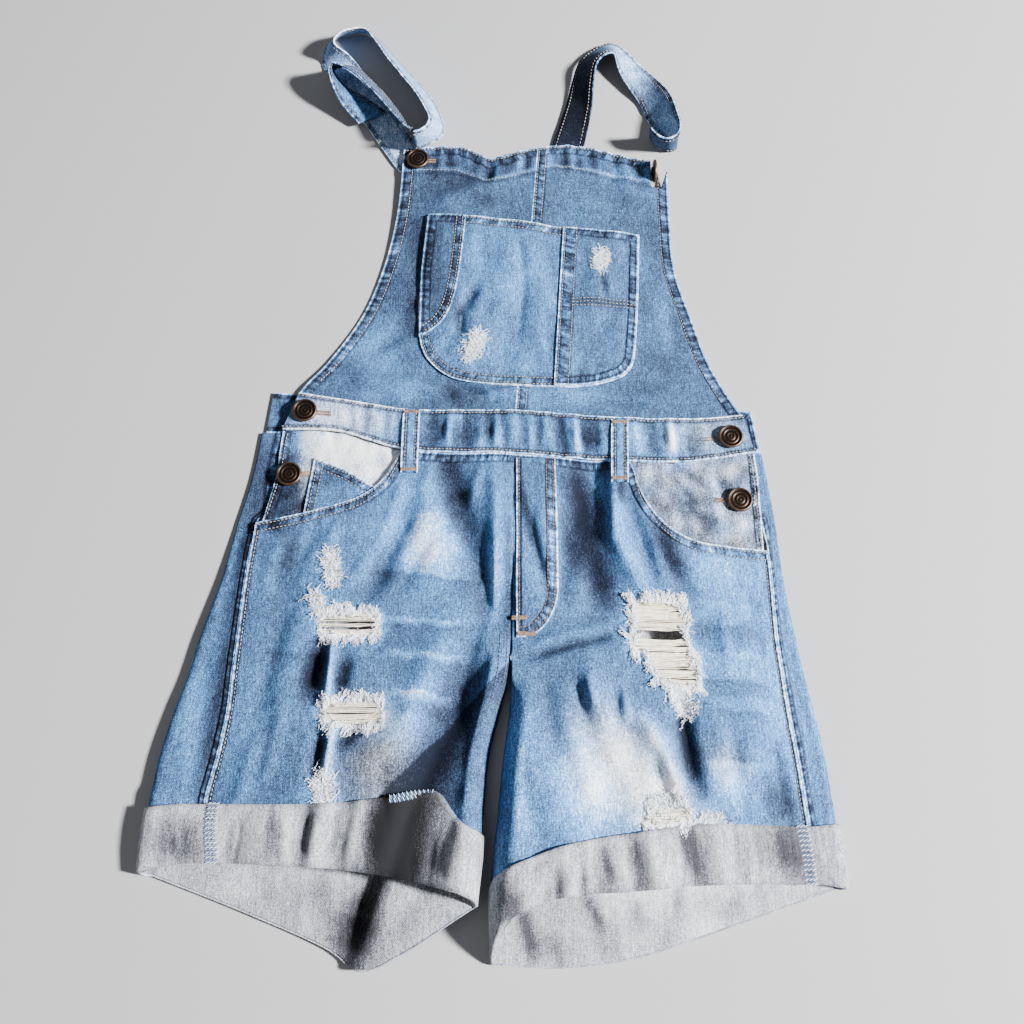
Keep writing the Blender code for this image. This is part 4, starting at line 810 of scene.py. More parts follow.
# The fly: a double strip of denim down the right front beside the centre seam. It is sham, with no opening,
# and two rows of tan stitches in a J hold it.
FLY_LEFT, FLY_RIGHT, FLY_TOP, FLY_END, FLY_CORNER, FLY_THICK = 1.0, 35.0, -47.0, -207.0, 30.0, 1.2
turns = np.linspace(0, math.pi / 2, 14)
fly_curve = np.stack([FLY_RIGHT - FLY_CORNER + FLY_CORNER * np.cos(turns),
                      FLY_END + FLY_CORNER * 1.4 * (1 - np.sin(turns))], axis=1)
fly_edge = np.concatenate([[(FLY_RIGHT, FLY_TOP)], fly_curve, [(FLY_LEFT, FLY_END)]])
fly_loop = through(np.concatenate([[(FLY_LEFT, FLY_TOP)], fly_edge]), 3.0)


def on_right_front(x, y):
    return front_point(RIGHT, share_of(RIGHT, x, y), y)


fly_hems = [fly_edge, [(FLY_LEFT, FLY_END), (FLY_LEFT, FLY_TOP)]]
fly = panel("cloth_fly", fly_loop, on_right_front, FLY_THICK, 2.1, hems=fly_hems, hem_wide=FLY_HEMS,
            wash_and_shade=front_wash_and_shade(RIGHT), shift=GAP + FLY_THICK)
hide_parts("fly")

# The hip pieces and the coin pocket: bleached panels behind the scooped pocket mouths, that button over
# the back at each side, the left one with a small blue pocket sewn on
HIP_DROP = {LEFT: 2 * CLOTH + 0.8, RIGHT: CLOTH + 0.6}
FRONT_ENDS = {
    LEFT: Table("y x", [(20, -194), (-17, -206), (-60, -210), (-103, -220)]),
    RIGHT: Table("y x", [(-2, 203), (-38, 211), (-83, 213.5), (-128, 214)]),
}
# Pale patches worn on the hips; the dark ones are painted shade: the left end round the lower button, the
# right pocket mouth and small creases on the right
HIP_FADES_AND_SHADING = {
    LEFT: [
        (-185, -35, -120, -38, 14, 0.14), (-200, -30, -206, -112, 18, -0.66),
        (-186, -80, -172, -106, 14, -0.5), (-130, -50, -110, -60, 10, 0.06),
    ],
    RIGHT: [
        (120, -58, 190, -58, 12, 0.1), (134, -60, 156, -88, 3.5, -0.26), (150, -58, 168, -74, 4, -0.24),
        (146, -84, 166, -112, 4, -0.24), (158, -96, 176, -104, 4, -0.2), (176, -58, 190, -86, 4, -0.2),
        (140, -66, 148, -84, 3, 0.14), (175, -70, 182, -118, 7, 0.1), (196, -100, 204, -120, 9, 0.14),
        (118, -75, 128, -96, 6, -0.1),
    ],
}
HIP_WASH, HIP_UNEVEN = {LEFT: 0.86, RIGHT: 0.53}, {LEFT: 0.08, RIGHT: 0.13}
HIP_TUCK, HIP_LAP, HIP_TAPER = 9.0, 6.0, 2.5


def over_front(raise_by, ripple=0.0):
    """A flat piece's place: the front's height, raised, with a slight ripple of its own."""
    return lambda x, y: spot(x, y, front_height(x, y) + raise_by + ripple * unrest(x * 1.2, y, 22, 61))


def edge_along(table, start, end, t, off):
    """Flat points under a table's height, from start to end across."""
    x = mix(start, end, t)
    return np.stack([x, table.at("y", x) + off], axis=1)


def hip_wash_and_shade(side):
    uneven = HIP_UNEVEN[side]
    return lambda x, y: HIP_WASH[side] + strokes(HIP_FADES_AND_SHADING[side], x, y) + uneven * unrest(x * 1.5, y, 20, 62)


for side in SIDES:
    out, ends = OUTWARD[side], FRONT_ENDS[side]
    corner, reach = POCKET_CORNER[side] - out * HIP_LAP, ends.rows[-1][1]
    outer_top = float(ends.at("x", WAIST_BOTTOM.at("y", reach) - GAP))
    outer_low = float(ends.at("x", float(POCKET_EDGE[side].at("y", reach)) - 2)) - out * HIP_TAPER
    t = np.linspace(0, 1, 34)
    across = edge_along(WAIST_BOTTOM, outer_top, corner, t, -GAP)
    under = edge_along(POCKET_EDGE[side], corner, outer_low, t, -HIP_TUCK)
    ys = mix(under[-1][1], across[0][1], t)
    end = np.stack([ends.at("x", ys) - out * HIP_TAPER * (1 - t), ys], axis=1)
    loop = np.concatenate([across[:-1], row([across[-1], under[0]])[:-1], under[:-1], end[:-1]])
    # The hip's left end is kept blue, not grey, under its painted shade.
    hip = panel(f"cloth_hip_{side}", loop, over_front(-HIP_DROP[side], 0.9), CLOTH, 3.0, hems=[end],
                hem_wide=7.0, wash_and_shade=hip_wash_and_shade(side),
                cast=lambda x, y: 0.62 + 0.25 * unrest(x, y, 30, 63) - 0.6 * ease((-182 - x) / 14))
    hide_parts(f"hip_{side}")
COIN_CORNERS = [(-176, -44), (-149, -56), (-121, -73), (-117, -82), (-150, -98), (-183, -106)]
COIN_DROP = CLOTH + 0.4
coin = panel("cloth_coin_pocket", through(COIN_CORNERS, 3), over_front(-COIN_DROP), CLOTH, 3.0, hem_wide=7.0,
             hems=[row(COIN_CORNERS[:3]), row([COIN_CORNERS[5], COIN_CORNERS[0]])],
             wash_and_shade=lambda x, y: 0.48 + 0.08 * unrest(x, y, 25, 9))
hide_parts("coin_pocket")

# The front waistband: a doubled band over the tops of the fronts, drawn up in small upright puckers by its
# two rows of stitches and worn pale over each hip
BAND_RAISE, BAND_DIP = 0.8, -2.2
BAND_FOLDS = [
    (-74, -2, -72, -36, 5, -3.0), (-58, 0, -60, -36, 5, 2.4), (-46, 0, -44, -40, 4, -3.0),
    (-30, 0, -32, -40, 5, 2.0), (38, -4, 40, -46, 5, -3.2), (52, -4, 56, -46, 4, 2.2),
    (62, -6, 66, -46, 5, -3.0), (76, -6, 76, -46, 4, 1.8), (10, -2, 12, -42, 6, 1.4),
    (120, -8, 124, -50, 5, -2.0), (136, -8, 138, -50, 6, 1.8), (152, -8, 156, -48, 5, -2.4),
]


def band_height(x, y):
    across = (WAIST_TOP.at("y", x) - y) / (WAIST_TOP.at("y", x) - WAIST_BOTTOM.at("y", x))
    between = np.sin(np.clip(across, 0, 1) * math.pi)
    gathers = unrest(x * 2.6, y * 0.35, 30, 71) * 2.2 + unrest(x, y * 0.3, 30, 72) * 1.8
    gathers = gathers + 1.4 * strokes(BAND_FOLDS, x, y)
    under_loops = 1 - 0.85 * np.exp(-((x + 92) / 13) ** 2) - 0.85 * np.exp(-((x - 91) / 13) ** 2)
    gathers = gathers * (0.3 + 0.7 * between) * under_loops * ease((x + 170) / 50) * ease((195 - x) / 50)
    return front_height(x, y) + BAND_RAISE + np.maximum(gathers, BAND_DIP)


# Pale wear over each hip, and painted shade in the dark troughs between puckers
BAND_FADES_AND_SHADING = [
    (-190, 0, -112, -12, 22, 0.3), (-60, -20, -50, -22, 9, -0.22), (-78, -18, -76, -20, 6, 0.1),
    (-30, -20, -26, -22, 6, -0.14), (56, -24, 70, -26, 8, -0.16), (118, -26, 196, -22, 20, 0.18),
    (150, -26, 156, -28, 8, -0.16), (20, -20, 40, -22, 8, 0.05),
]


def band_wash_and_shade(x, y):
    # Pucker crests paler and troughs darker, partly from wear and partly painted shade
    ridges = band_height(x, y) - front_height(x, y) - BAND_RAISE
    return 0.475 + strokes(BAND_FADES_AND_SHADING, x, y) + 0.09 * ridges + 0.06 * unrest(x * 2, y * 3, 20, 73)


def on_band(x, y):
    return spot(x, y, band_height(x, y))


t = np.linspace(0, 1, 130)
band_top = edge_along(WAIST_TOP, -194, 203, t, 0)
band_low = edge_along(WAIST_BOTTOM, 211, -206, t, 0)
band_ends = [row([band_top[-1], band_low[0]])[:-1], row([band_low[-1], band_top[0]])[:-1]]
band_loop = np.concatenate([band_top[:-1], band_ends[0], band_low[:-1], band_ends[1]])
BAND_GREYED = [(-190, 0, -120, -10, 22, 0.6), (150, -24, 200, -20, 20, 0.6)]
waistband = panel("cloth_waistband_front", band_loop, on_band, DOUBLE_CLOTH, 2.8, hems=[band_top, band_low],
                  hem_wide=4.0, wash_and_shade=band_wash_and_shade, cast=lambda x, y: strokes(BAND_GREYED, x, y))
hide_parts("waistband_front")

# The bib: two panels joined down a felled centre seam, with a deep turned top and narrow stitched sides.
# Its right corner has curled over, so that its button stands on edge in the notch.
BIB_SIDES = Table("y left right", [
    (288, -109, 149), (259, -110, 149), (205, -114, 149), (149, -125, 151), (100, -142, 163), (50, -172, 177),
    (20, -194, 190), (-4, -196, 203)])
BIB_TOP = Table("x y", [
    (-109, 285), (-77, 287), (-54, 286), (-24, 274), (15, 284), (60, 287), (94, 279), (133, 270)])
BIB_HEIGHT = Table("y z_left z_mid z_right", [
    (290, 6.6, 8.5, 6), (230, 5, 7.5, 3), (150, 2.4, 7, 2.4), (60, 2.8, 7, 2.8), (20, 5.5, 8.2, 5),
    (-6, 6.8, 9.8, 6.2)])
BIB_CORNER = (134.0, 256.0, 8.0, 14.0)
BIB_NOTCH = [(133, 270), (132.4, 262), (132.4, 241), (142, 239), (149, 259)]
BIB_TOP_HEM = 26.0
BIB_FOLDS = [
    (-150, 60, -90, 110, 10, 1.4), (-160, 45, -100, 84, 7, -1.3), (-140, 34, -60, 20, 7, 1.5),
    (-60, 30, -20, 12, 5, -1.5), (-50, 14, 10, 22, 4, 1.2), (-40, 258, -90, 236, 14, -1.6),
    (-30, 240, -80, 222, 10, 1.4), (130, 120, 140, 70, 8, 1.1), (146, 110, 150, 60, 6, -1.2),
    (30, 22, 70, 14, 5, 1.0), (80, 20, 140, 28, 7, -1.0), (-20, 270, -28, 250, 8, -1.5),
    (110, 262, 112, 240, 7, 1.2), (-90, 120, -120, 70, 9, -1.3), (-104, 150, -106, 110, 7, 1.0),
    (130, 200, 134, 140, 8, -1.0), (-150, 30, -110, 14, 5, -1.2), (60, 14, 110, 6, 4, -1.2),
    (20, 262, 60, 250, 7, 0.9), (60, 240, 120, 222, 10, -1.1), (-96, 200, -92, 140, 6, -1.4),
]


def bib_height(x, y):
    left, right = BIB_SIDES.at("left", y), BIB_SIDES.at("right", y)
    t = np.clip((x - left) / (right - left), 0, 1)
    middle = ease(np.minimum(t, 1 - t) / 0.3)
    side_height = mix(BIB_HEIGHT.at("z_left", y), BIB_HEIGHT.at("z_right", y), t)
    corner_x, corner_y, corner_up, corner_wide = BIB_CORNER
    away = np.hypot(x - corner_x, y - corner_y) / corner_wide
    rumple = 3.2 * strokes(BIB_FOLDS, x, y) + 1.1 * unrest(x, y * 0.8, 46, 81) + 0.26 * unrest(x, y, 14, 85)
    from_top = BIB_TOP.at("y", x) - y
    gathers = 1.0 * unrest(x * 2.2, y * 0.4, 28, 82) * ease((BIB_TOP_HEM + 6 - from_top) / 8)
    curled = corner_up * np.exp(-away * away)
    return mix(side_height, BIB_HEIGHT.at("z_mid", y), middle) + curled + rumple * middle + gathers


# Patches on the bib, paler and darker; the darker ones are mostly painted shade: over its upper left, beside
# the left button and in dips along the top hem
BIB_FADES_AND_SHADING = [
    (-100, 250, -40, 240, 26, -0.08), (-95, 220, -95, 110, 18, -0.12), (-150, 40, -60, 14, 14, -0.06),
    (-146, 66, -110, 40, 22, 0.2), (0, 14, 90, 12, 13, 0.12), (135, 150, 150, 60, 12, 0.04),
    (60, 230, 110, 225, 18, 0.06), (-60, 18, -30, 8, 10, -0.1), (150, 40, 120, 60, 10, -0.06),
    (-138, 20, -80, 16, 9, 0.16), (-58, 24, -52, 10, 6, -0.22), (-24, 20, -16, 12, 6, 0.1),
    (51, 272, 51, 256, 4, -0.24), (-6, 276, -6, 256, 4, -0.2), (13, 280, 13, 256, 4, -0.14),
    (-80, 276, -80, 258, 7, -0.22), (-42, 226, -20, 224, 8, -0.12), (-97, 112, -96, 84, 6, -0.16),
    (30, 276, 30, 256, 5, 0.16), (90, 272, 90, 250, 6, 0.14),
]


def seam_x(y):
    return 0.078 * y


def bib_wash_and_shade(x, y):
    from_top = BIB_TOP.at("y", x) - y
    # A pale worn line along the top hem's edge with a painted shadow just under it; fold crests paler and
    # troughs darker, partly wear and partly painted shade
    worn, shaded = (from_top - BIB_TOP_HEM + 1) / 1.6, (from_top - BIB_TOP_HEM - 3) / 2.0
    hem = np.exp(-worn ** 2) * 0.22 - np.exp(-shaded ** 2) * 0.12
    streaks = ease((BIB_TOP_HEM - from_top) / 4) * (0.2 * unrest(x * 2.6, y * 0.5, 24, 83) - 0.03)
    ridges = strokes(BIB_FOLDS, x, y) * 0.05
    return 0.414 + strokes(BIB_FADES_AND_SHADING, x, y) + hem + streaks + ridges + 0.04 * unrest(x, y, 70, 84)


def on_bib(x, y):
    return spot(x, y, bib_height(x, y))


bib_edges = {}
for side in SIDES:
    out, is_left = OUTWARD[side], side == LEFT
    t = np.linspace(0, 1, 60)
    inner = lambda y: seam_x(y) + out * GAP / 2
    top_y, foot = float(BIB_TOP.at("y", seam_x(284))), float(WAIST_TOP.at("y", 0)) + GAP
    end_x = BIB_TOP.rows[0][0] if is_left else BIB_NOTCH[0][0]
    side_y = float(BIB_TOP.at("y", end_x)) if is_left else BIB_NOTCH[-1][1]
    low_x = float(BIB_SIDES.at(side, 20 if is_left else -2))
    low_y = float(WAIST_TOP.at("y", low_x)) + GAP
    top = edge_along(BIB_TOP, inner(top_y), end_x, t, 0)
    ys = mix(side_y, low_y, t)
    flank = np.stack([BIB_SIDES.at(side, ys), ys], axis=1)
    along = edge_along(WAIST_TOP, low_x, inner(0), t, GAP)
    rise = np.stack([inner(mix(foot, top_y, t)), mix(foot, top_y, t)], axis=1)
    notch = np.zeros((0, 2)) if is_left else np.array(BIB_NOTCH[:-1])
    loop = np.concatenate([top[:-1], notch, flank[:-1], along[:-1], rise[:-1]])
    bib_edges[side] = (top, flank)
    bib = panel(f"cloth_bib_{side}", loop, on_bib, CLOTH, 2.2, hem_wide=9.5, wash_and_shade=bib_wash_and_shade,
                hems=[flank, top] if is_left else [flank, top, rise])
    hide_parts(f"bib_{side}")

# The bib's patch pocket: a main panel, a curved side panel and a pen pocket, all hemmed and double-stitched
# round their edges, with two scuffed places
POCKET_PUFF = 2.5
POCKET_FOLDS = [
    (-36, 128, -50, 100, 5, -3.6), (-50, 100, -51, 82, 4.5, -3.0), (-26, 124, -38, 96, 6, 2.0),
    (81, 143, 84, 118, 3.6, -2.6), (4, 176, 8, 128, 4, -1.6), (8, 128, 2, 60, 4, -1.4),
    (14, 178, 18, 90, 6, 1.6), (-6, 186, -12, 150, 7, 1.2), (-34, 184, -30, 150, 6, -1.2),
    (-30, 120, 6, 100, 8, 1.2), (-44, 96, -66, 60, 6, -1.4), (-20, 90, -12, 40, 6, -1.0),
    (-56, 60, -10, 46, 6, 1.2), (22, 76, 30, 36, 5, 1.2), (70, 176, 74, 130, 7, 1.0),
    (96, 170, 100, 120, 6, -1.0), (60, 86, 104, 78, 5, -1.0), (64, 60, 100, 52, 6, 1.1),
    (-78, 190, -80, 110, 5, 0.9), (40, 196, 60, 184, 5, 1.0),
]


def pocket_height(layers):
    def height(x, y):
        puff = POCKET_PUFF * ease((x + 92) / 45) * ease((122 - x) / 45) * ease((y - 20) / 45)
        small = 0.5 * unrest(x * 1.6, y * 0.5, 30, 91) + strokes(POCKET_FOLDS, x, y)
        small = small * ease((x + 90) / 20) * ease((118 - x) / 20)
        return bib_height(x, y) + layers * (CLOTH + GAP) + puff + small

    return height


MAIN_POCKET = [(-84, 208), (-46, 205), (5, 199), (45, 191), (81, 188), (119, 186), (115, 114), (110, 58),
               (106, 43), (95, 32), (68, 25), (36, 24), (-41, 28), (-68, 37), (-90, 67), (-89, 146)]
SIDE_POCKET = [
    (-83, 207.5), (-47, 204.5), (-49, 175), (-53, 135), (-58, 107), (-69, 87), (-88, 76), (-88, 146),
]
PEN_POCKET = [
    (46, 190.5), (81, 187.5), (118, 185.5), (114, 114), (109, 58), (105, 43.5), (94.5, 33), (68, 26),
    (35, 25), (40, 100),
]
MAIN_POCKET = MAIN_POCKET[:5] + softened(MAIN_POCKET[5:] + MAIN_POCKET[:1]).tolist()[:-1]
SIDE_POCKET = SIDE_POCKET[:1] + softened(SIDE_POCKET[1:7]).tolist() + SIDE_POCKET[7:]
PEN_POCKET = PEN_POCKET[:2] + softened(PEN_POCKET[2:9]).tolist() + PEN_POCKET[9:]
# Mostly painted shade on the pockets: down the side pocket's left edge, in the curved crease and the pen
# pocket's crease, in dips along the top hems, under the cross rows and along the pockets' feet, with a few
# paler patches
POCKET_FADES_AND_SHADING = [
    (-20, 150, 30, 120, 40, 0.08), (-60, 120, -50, 90, 6, -0.1), (-40, 60, 60, 50, 14, 0.05),
    (60, 150, 100, 150, 14, -0.04), (20, 140, 14, 60, 5, -0.06), (-74, 190, -76, 110, 10, -0.08),
    (-80, 192, -82, 120, 5, -0.14), (-36, 128, -50, 100, 3.5, -0.22), (-50, 100, -51, 84, 3.5, -0.22),
    (81, 142, 84, 120, 3, -0.22), (-56, 206, -56, 196, 5, -0.2), (3, 198, 3, 188, 4, -0.2),
    (78, 189, 78, 178, 5, -0.2), (52, 110, 113, 108, 5, -0.2), (34, 100, 34, 30, 4, -0.08),
    (-60, 34, -30, 28, 6, -0.12), (20, 28, 26, 34, 4, -0.16), (58, 30, 62, 38, 4, -0.16),
]


POCKET_SCUFFS = [(-40, 58, -34, 72, 7, 0.6), (81, 148, 82, 160, 5, 0.6)]


def pocket_wash_and_shade(tone):
    def wash_and_shade(x, y):
        fuzz = strokes(POCKET_SCUFFS, x, y)
        return tone + strokes(POCKET_FADES_AND_SHADING, x, y) + fuzz + 0.04 * unrest(x * 1.4, y * 0.5, 30, 92)

    return wash_and_shade


def on_pocket(layers):
    height = pocket_height(layers)
    return lambda x, y: spot(x, y, height(x, y))


def closed_line(corners):
    return row([*corners, corners[0]])


MAIN_HEM, PEN_HEM = 8.3, 12.8
pen_side = row([*PEN_POCKET[-2:], PEN_POCKET[0]])
for name, corners, layers, tone, hems, area in (
    ("bib_pocket", MAIN_POCKET, 1, 0.51, [closed_line(MAIN_POCKET)], 0.0353),
    ("bib_pocket_side", SIDE_POCKET, 2, 0.4, [closed_line(SIDE_POCKET)], 0.0042),
    ("pen_pocket", PEN_POCKET, 2, 0.46, [row(PEN_POCKET[:-1]), pen_side], 0.0116),
):
    patch = panel(f"cloth_{name}", through(corners, 2.6), on_pocket(layers), CLOTH, 2.1,
                  hems=hems, hem_wide=(MAIN_HEM, PEN_HEM)[:len(hems)], wash_and_shade=pocket_wash_and_shade(tone))
    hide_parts(name)

# The belt loops: two doubled strips, folded to the middle, that stand slightly off the waistband and are
# tacked down at both ends
LOOPS = {LEFT: ((-92, 2), (-92, -60)), RIGHT: ((93, -8), (90, -71))}
LOOP_WIDE, LOOP_LONG, LOOP_THICK, LOOP_BULGE, LOOP_HEM = 15.0, 0.066, 1.6, 2.0, 3.6
loop_places = {}
for side in SIDES:
    (x0, y0), (x1, y1) = LOOPS[side]

    def on_loop(u, v, x0=x0, y0=y0, x1=x1, y1=y1):
        t = v / (y0 - y1)
        centre, y = mix(x0, x1, t), y0 - v
        high = np.max([front_height(centre + k * LOOP_WIDE / 2, y) for k in (-1, 0, 1)], axis=0) + BAND_RAISE
        crown = 0.5 * (1 - (2 * u / LOOP_WIDE) ** 2)
        return spot(centre + u, y, high + 1.5 * GAP + LOOP_BULGE * np.sin(math.pi * np.clip(t, 0, 1)) + crown)

    long, half = y0 - y1, LOOP_WIDE / 2
    corners = [(-half, 0), (half, 0), (half, long), (-half, long)]
    loop_places[side] = on_loop
    strip = panel(f"cloth_belt_loop_{side}", through(corners, 2.5), on_loop, LOOP_THICK, 2.4,
                  hems=[row([(k * half, 0), (k * half, long)]) for k in (-1, 1)], hem_wide=LOOP_HEM,
                  wash_and_shade=lambda x, y: 0.58 + 0.07 * unrest(x * 3, y * 1.3, 20, 101))
    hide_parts(f"belt_loop_{side}")

# The cuffs: the end of each leg turned up once on the outside, so its grey wrong side shows, loosely and a
# little puffed. The outseam's overlocked allowance shows on each as a frayed blue and white strip.
def hoop(name, rings, fade_and_shade, cast, edge, which, capped=False):
    """A wall through a row of closed sections, capped at its ends or else joined from last to first."""
    count, n = rings.shape[:2]
    i, j = (a.ravel() for a in np.meshgrid(np.arange(count - capped), np.arange(n), indexing="ij"))
    on, past = i * n, (i + 1) % count * n
    polygons = np.stack([on + j, on + (j + 1) % n, past + (j + 1) % n, past + j], axis=1).tolist()
    which = np.resize(which, len(polygons)).tolist()
    if capped:
        polygons += [list(range(n))[::-1], [(count - 1) * n + k for k in range(n)]]
        which += [0, 0]
    made = cloth_piece(name, rings.reshape(-1, 3), polygons, which, fade_and_shade.ravel(), cast.ravel(), edge)
    shell = bmesh.new()
    shell.from_mesh(made.data)
    bmesh.ops.recalc_face_normals(shell, faces=shell.faces)
    shell.to_mesh(made.data)
    shell.free()
    return made


CUFF_FOLDS = {
    LEFT: [
        (-214, -352, -218, -376, 5, -3.2), (-118, -332, -126, -380, 7, 2.6),
        (-240, -350, -246, -374, 9, 2.2), (-62, -344, -72, -392, 8, -2.6),
        (-160, -338, -166, -376, 9, -2.5), (-148, -338, -153, -378, 8, 2.4),
        (-130, -338, -134, -380, 12, -2.4), (-196, -342, -192, -374, 12, 1.5),
        (-88, -328, -104, -384, 10, 2.0), (-36, -354, -40, -396, 8, 2.4), (-24, -364, -22, -400, 5, -1.8),
    ],
    RIGHT: [
        (50, -382, 52, -422, 4, -2.4), (86, -366, 92, -408, 6, -2.0), (28, -392, 18, -432, 6, -3.0),
        (40, -386, 36, -426, 7, 2.2), (62, -374, 70, -414, 8, -2.2), (100, -360, 110, -402, 9, 2.2),
        (128, -356, 136, -396, 7, -2.6), (150, -354, 156, -392, 7, 2.0), (176, -352, 180, -388, 7, -2.2),
        (204, -354, 208, -384, 8, 1.8),
    ],
}
# Painted shade on the cuffs: the large shadow over the left cuff's inner part and darker creases on both,
# with a few paler ridges
CUFF_FADES_AND_SHADING = {
    LEFT: [
        (-84, -316, -90, -404, 25, -0.74), (-184, -346, -180, -380, 7, -0.24),
        (-176, -342, -174, -380, 4, 0.1), (-159, -342, -160, -380, 4, -0.26),
        (-254, -352, -250, -378, 4, -0.24), (-262, -362, -258, -378, 3, -0.2),
        (-132, -338, -136, -378, 5, -0.1), (-216, -352, -218, -376, 3, -0.14),
        (-36, -354, -40, -396, 8, 0.08), (-266, -345, -270, -376, 9, -0.2),
        (-118, -332, -126, -380, 5, 0.1), (-40, -356, -10, -400, 16, -0.08),
        (-100, -330, -106, -384, 9, -0.12), (-186, -342, -190, -376, 4, -0.1),
    ],
    RIGHT: [
        (66, -372, 72, -392, 3, -0.2), (88, -362, 94, -402, 6, -0.26), (126, -350, 140, -394, 7, -0.34),
        (206, -350, 212, -386, 16, -0.26), (168, -352, 170, -388, 4, -0.14), (-8, -398, 8, -434, 9, -0.26),
        (30, -384, 34, -424, 10, 0.05), (50, -382, 52, -422, 4, -0.16), (28, -392, 18, -432, 5, -0.14),
        (64, -376, 70, -414, 6, -0.12), (212, -352, 214, -384, 6, -0.1), (150, -354, 156, -392, 5, 0.06),
        (100, -360, 110, -402, 9, 0.06),
    ],
}


def cuff_row(side, up, turned_under):
    """Points round a leg's end: up is their share of the cuff's height."""
    round_side, under = np.linspace(ROLL_PART, 0.04, 22), np.linspace(1, 0.32, 96)
    across = np.linspace(0.03, 1, 128)
    parts = []
    for share, on, hem in ((round_side, back_point, back_hem(side, round_side)),
                           (across, front_point, HEM_FRONT[side].at("y", across)),
                           (under, back_point, back_hem(side, under))):
        top = CUFF_TOP[side].at("y", share)
        if on is back_point:
            side_tall = CUFF_TOP[side].at("y", 0.0) - HEM_FRONT[side].at("y", 0.0)
            top = hem + mix(side_tall, CUFF_HEIGHT, np.clip(share / ROLL_PART, 0, 1))
        y = mix(hem, top, up) if up else hem - GAP - turned_under
        parts.append(on(side, share, y))
    return np.concatenate(parts)


CUFF_OUTSIDE, CUFF_INSIDE = 13, 6
CUFF_WASH = {LEFT: 0.665, RIGHT: 0.61}
CUFF_PUFF, CUFF_FLARE, CUFF_DIP, CUFF_RAISE = 1.5, 0.8, -2.4, 1.3
cuff_faces = {}
for side in SIDES:
    profile = [(up, 1) for up in np.linspace(1, 0, CUFF_OUTSIDE)] + [(0, -1), (0, 0)]
    profile += [(up, 0) for up in np.linspace(0.15, 1, CUFF_INSIDE)]
    sections = []
    for up, level in profile:
        around = cuff_row(side, up, CLOTH if level else 0.0)
        along = np.roll(around, -1, axis=0) - np.roll(around, 1, axis=0)
        out = np.cross([0.0, 1.0, 0.0], along) * OUTWARD[side]
        out /= np.maximum(np.linalg.norm(out, axis=1, keepdims=True), 1e-9)
        on_top = ease(out[:, 2:3])
        x, y = around[:, 0], around[:, 1]
        wavy = 0.7 * unrest(x, y * 0.5, 26, 111) + 2.1 * strokes(CUFF_FOLDS[side], x, y)
        wavy = (np.maximum(wavy, CUFF_DIP) + CUFF_RAISE)[:, None] * on_top
        puff = (CUFF_PUFF * math.sin(math.pi * up) + CUFF_FLARE * (1 - up)) * on_top
        off = {1: CUFF_OFF + CLOTH + puff + wavy * 0.8, 0: CUFF_OFF + (puff + wavy * 0.8) * 0.9,
               -1: -CLOTH - 0.1 + 0 * on_top}[level]
        sections.append(around + out * off)
    rings = np.stack(sections, axis=1)
    cuff_faces[side] = rings[:, :CUFF_OUTSIDE]
    x, y = rings[..., 0], rings[..., 1]
    # worn holds the cuffs' painted shade and paler ridges
    worn = 1.25 * strokes(CUFF_FADES_AND_SHADING[side], x, y)
    fade_and_shade = CUFF_WASH[side] + worn + 0.05 * unrest(x * 2.2, y * 0.3, 24, 112) + 0.04 * unrest(x, y, 40, 113)
    down = (1 - np.array([up for up, _ in profile])) * CUFF_HEIGHT
    edge = np.stack([x, down + 0 * x, 0 * x], axis=-1).reshape(-1, 3)
    which = [1] * (CUFF_OUTSIDE + 1) + [0] * (CUFF_INSIDE + 1)
    cuff = hoop(f"cloth_cuff_{side}", rings, fade_and_shade, 0 * fade_and_shade, edge, which)
    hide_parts(f"cuff_{side}")

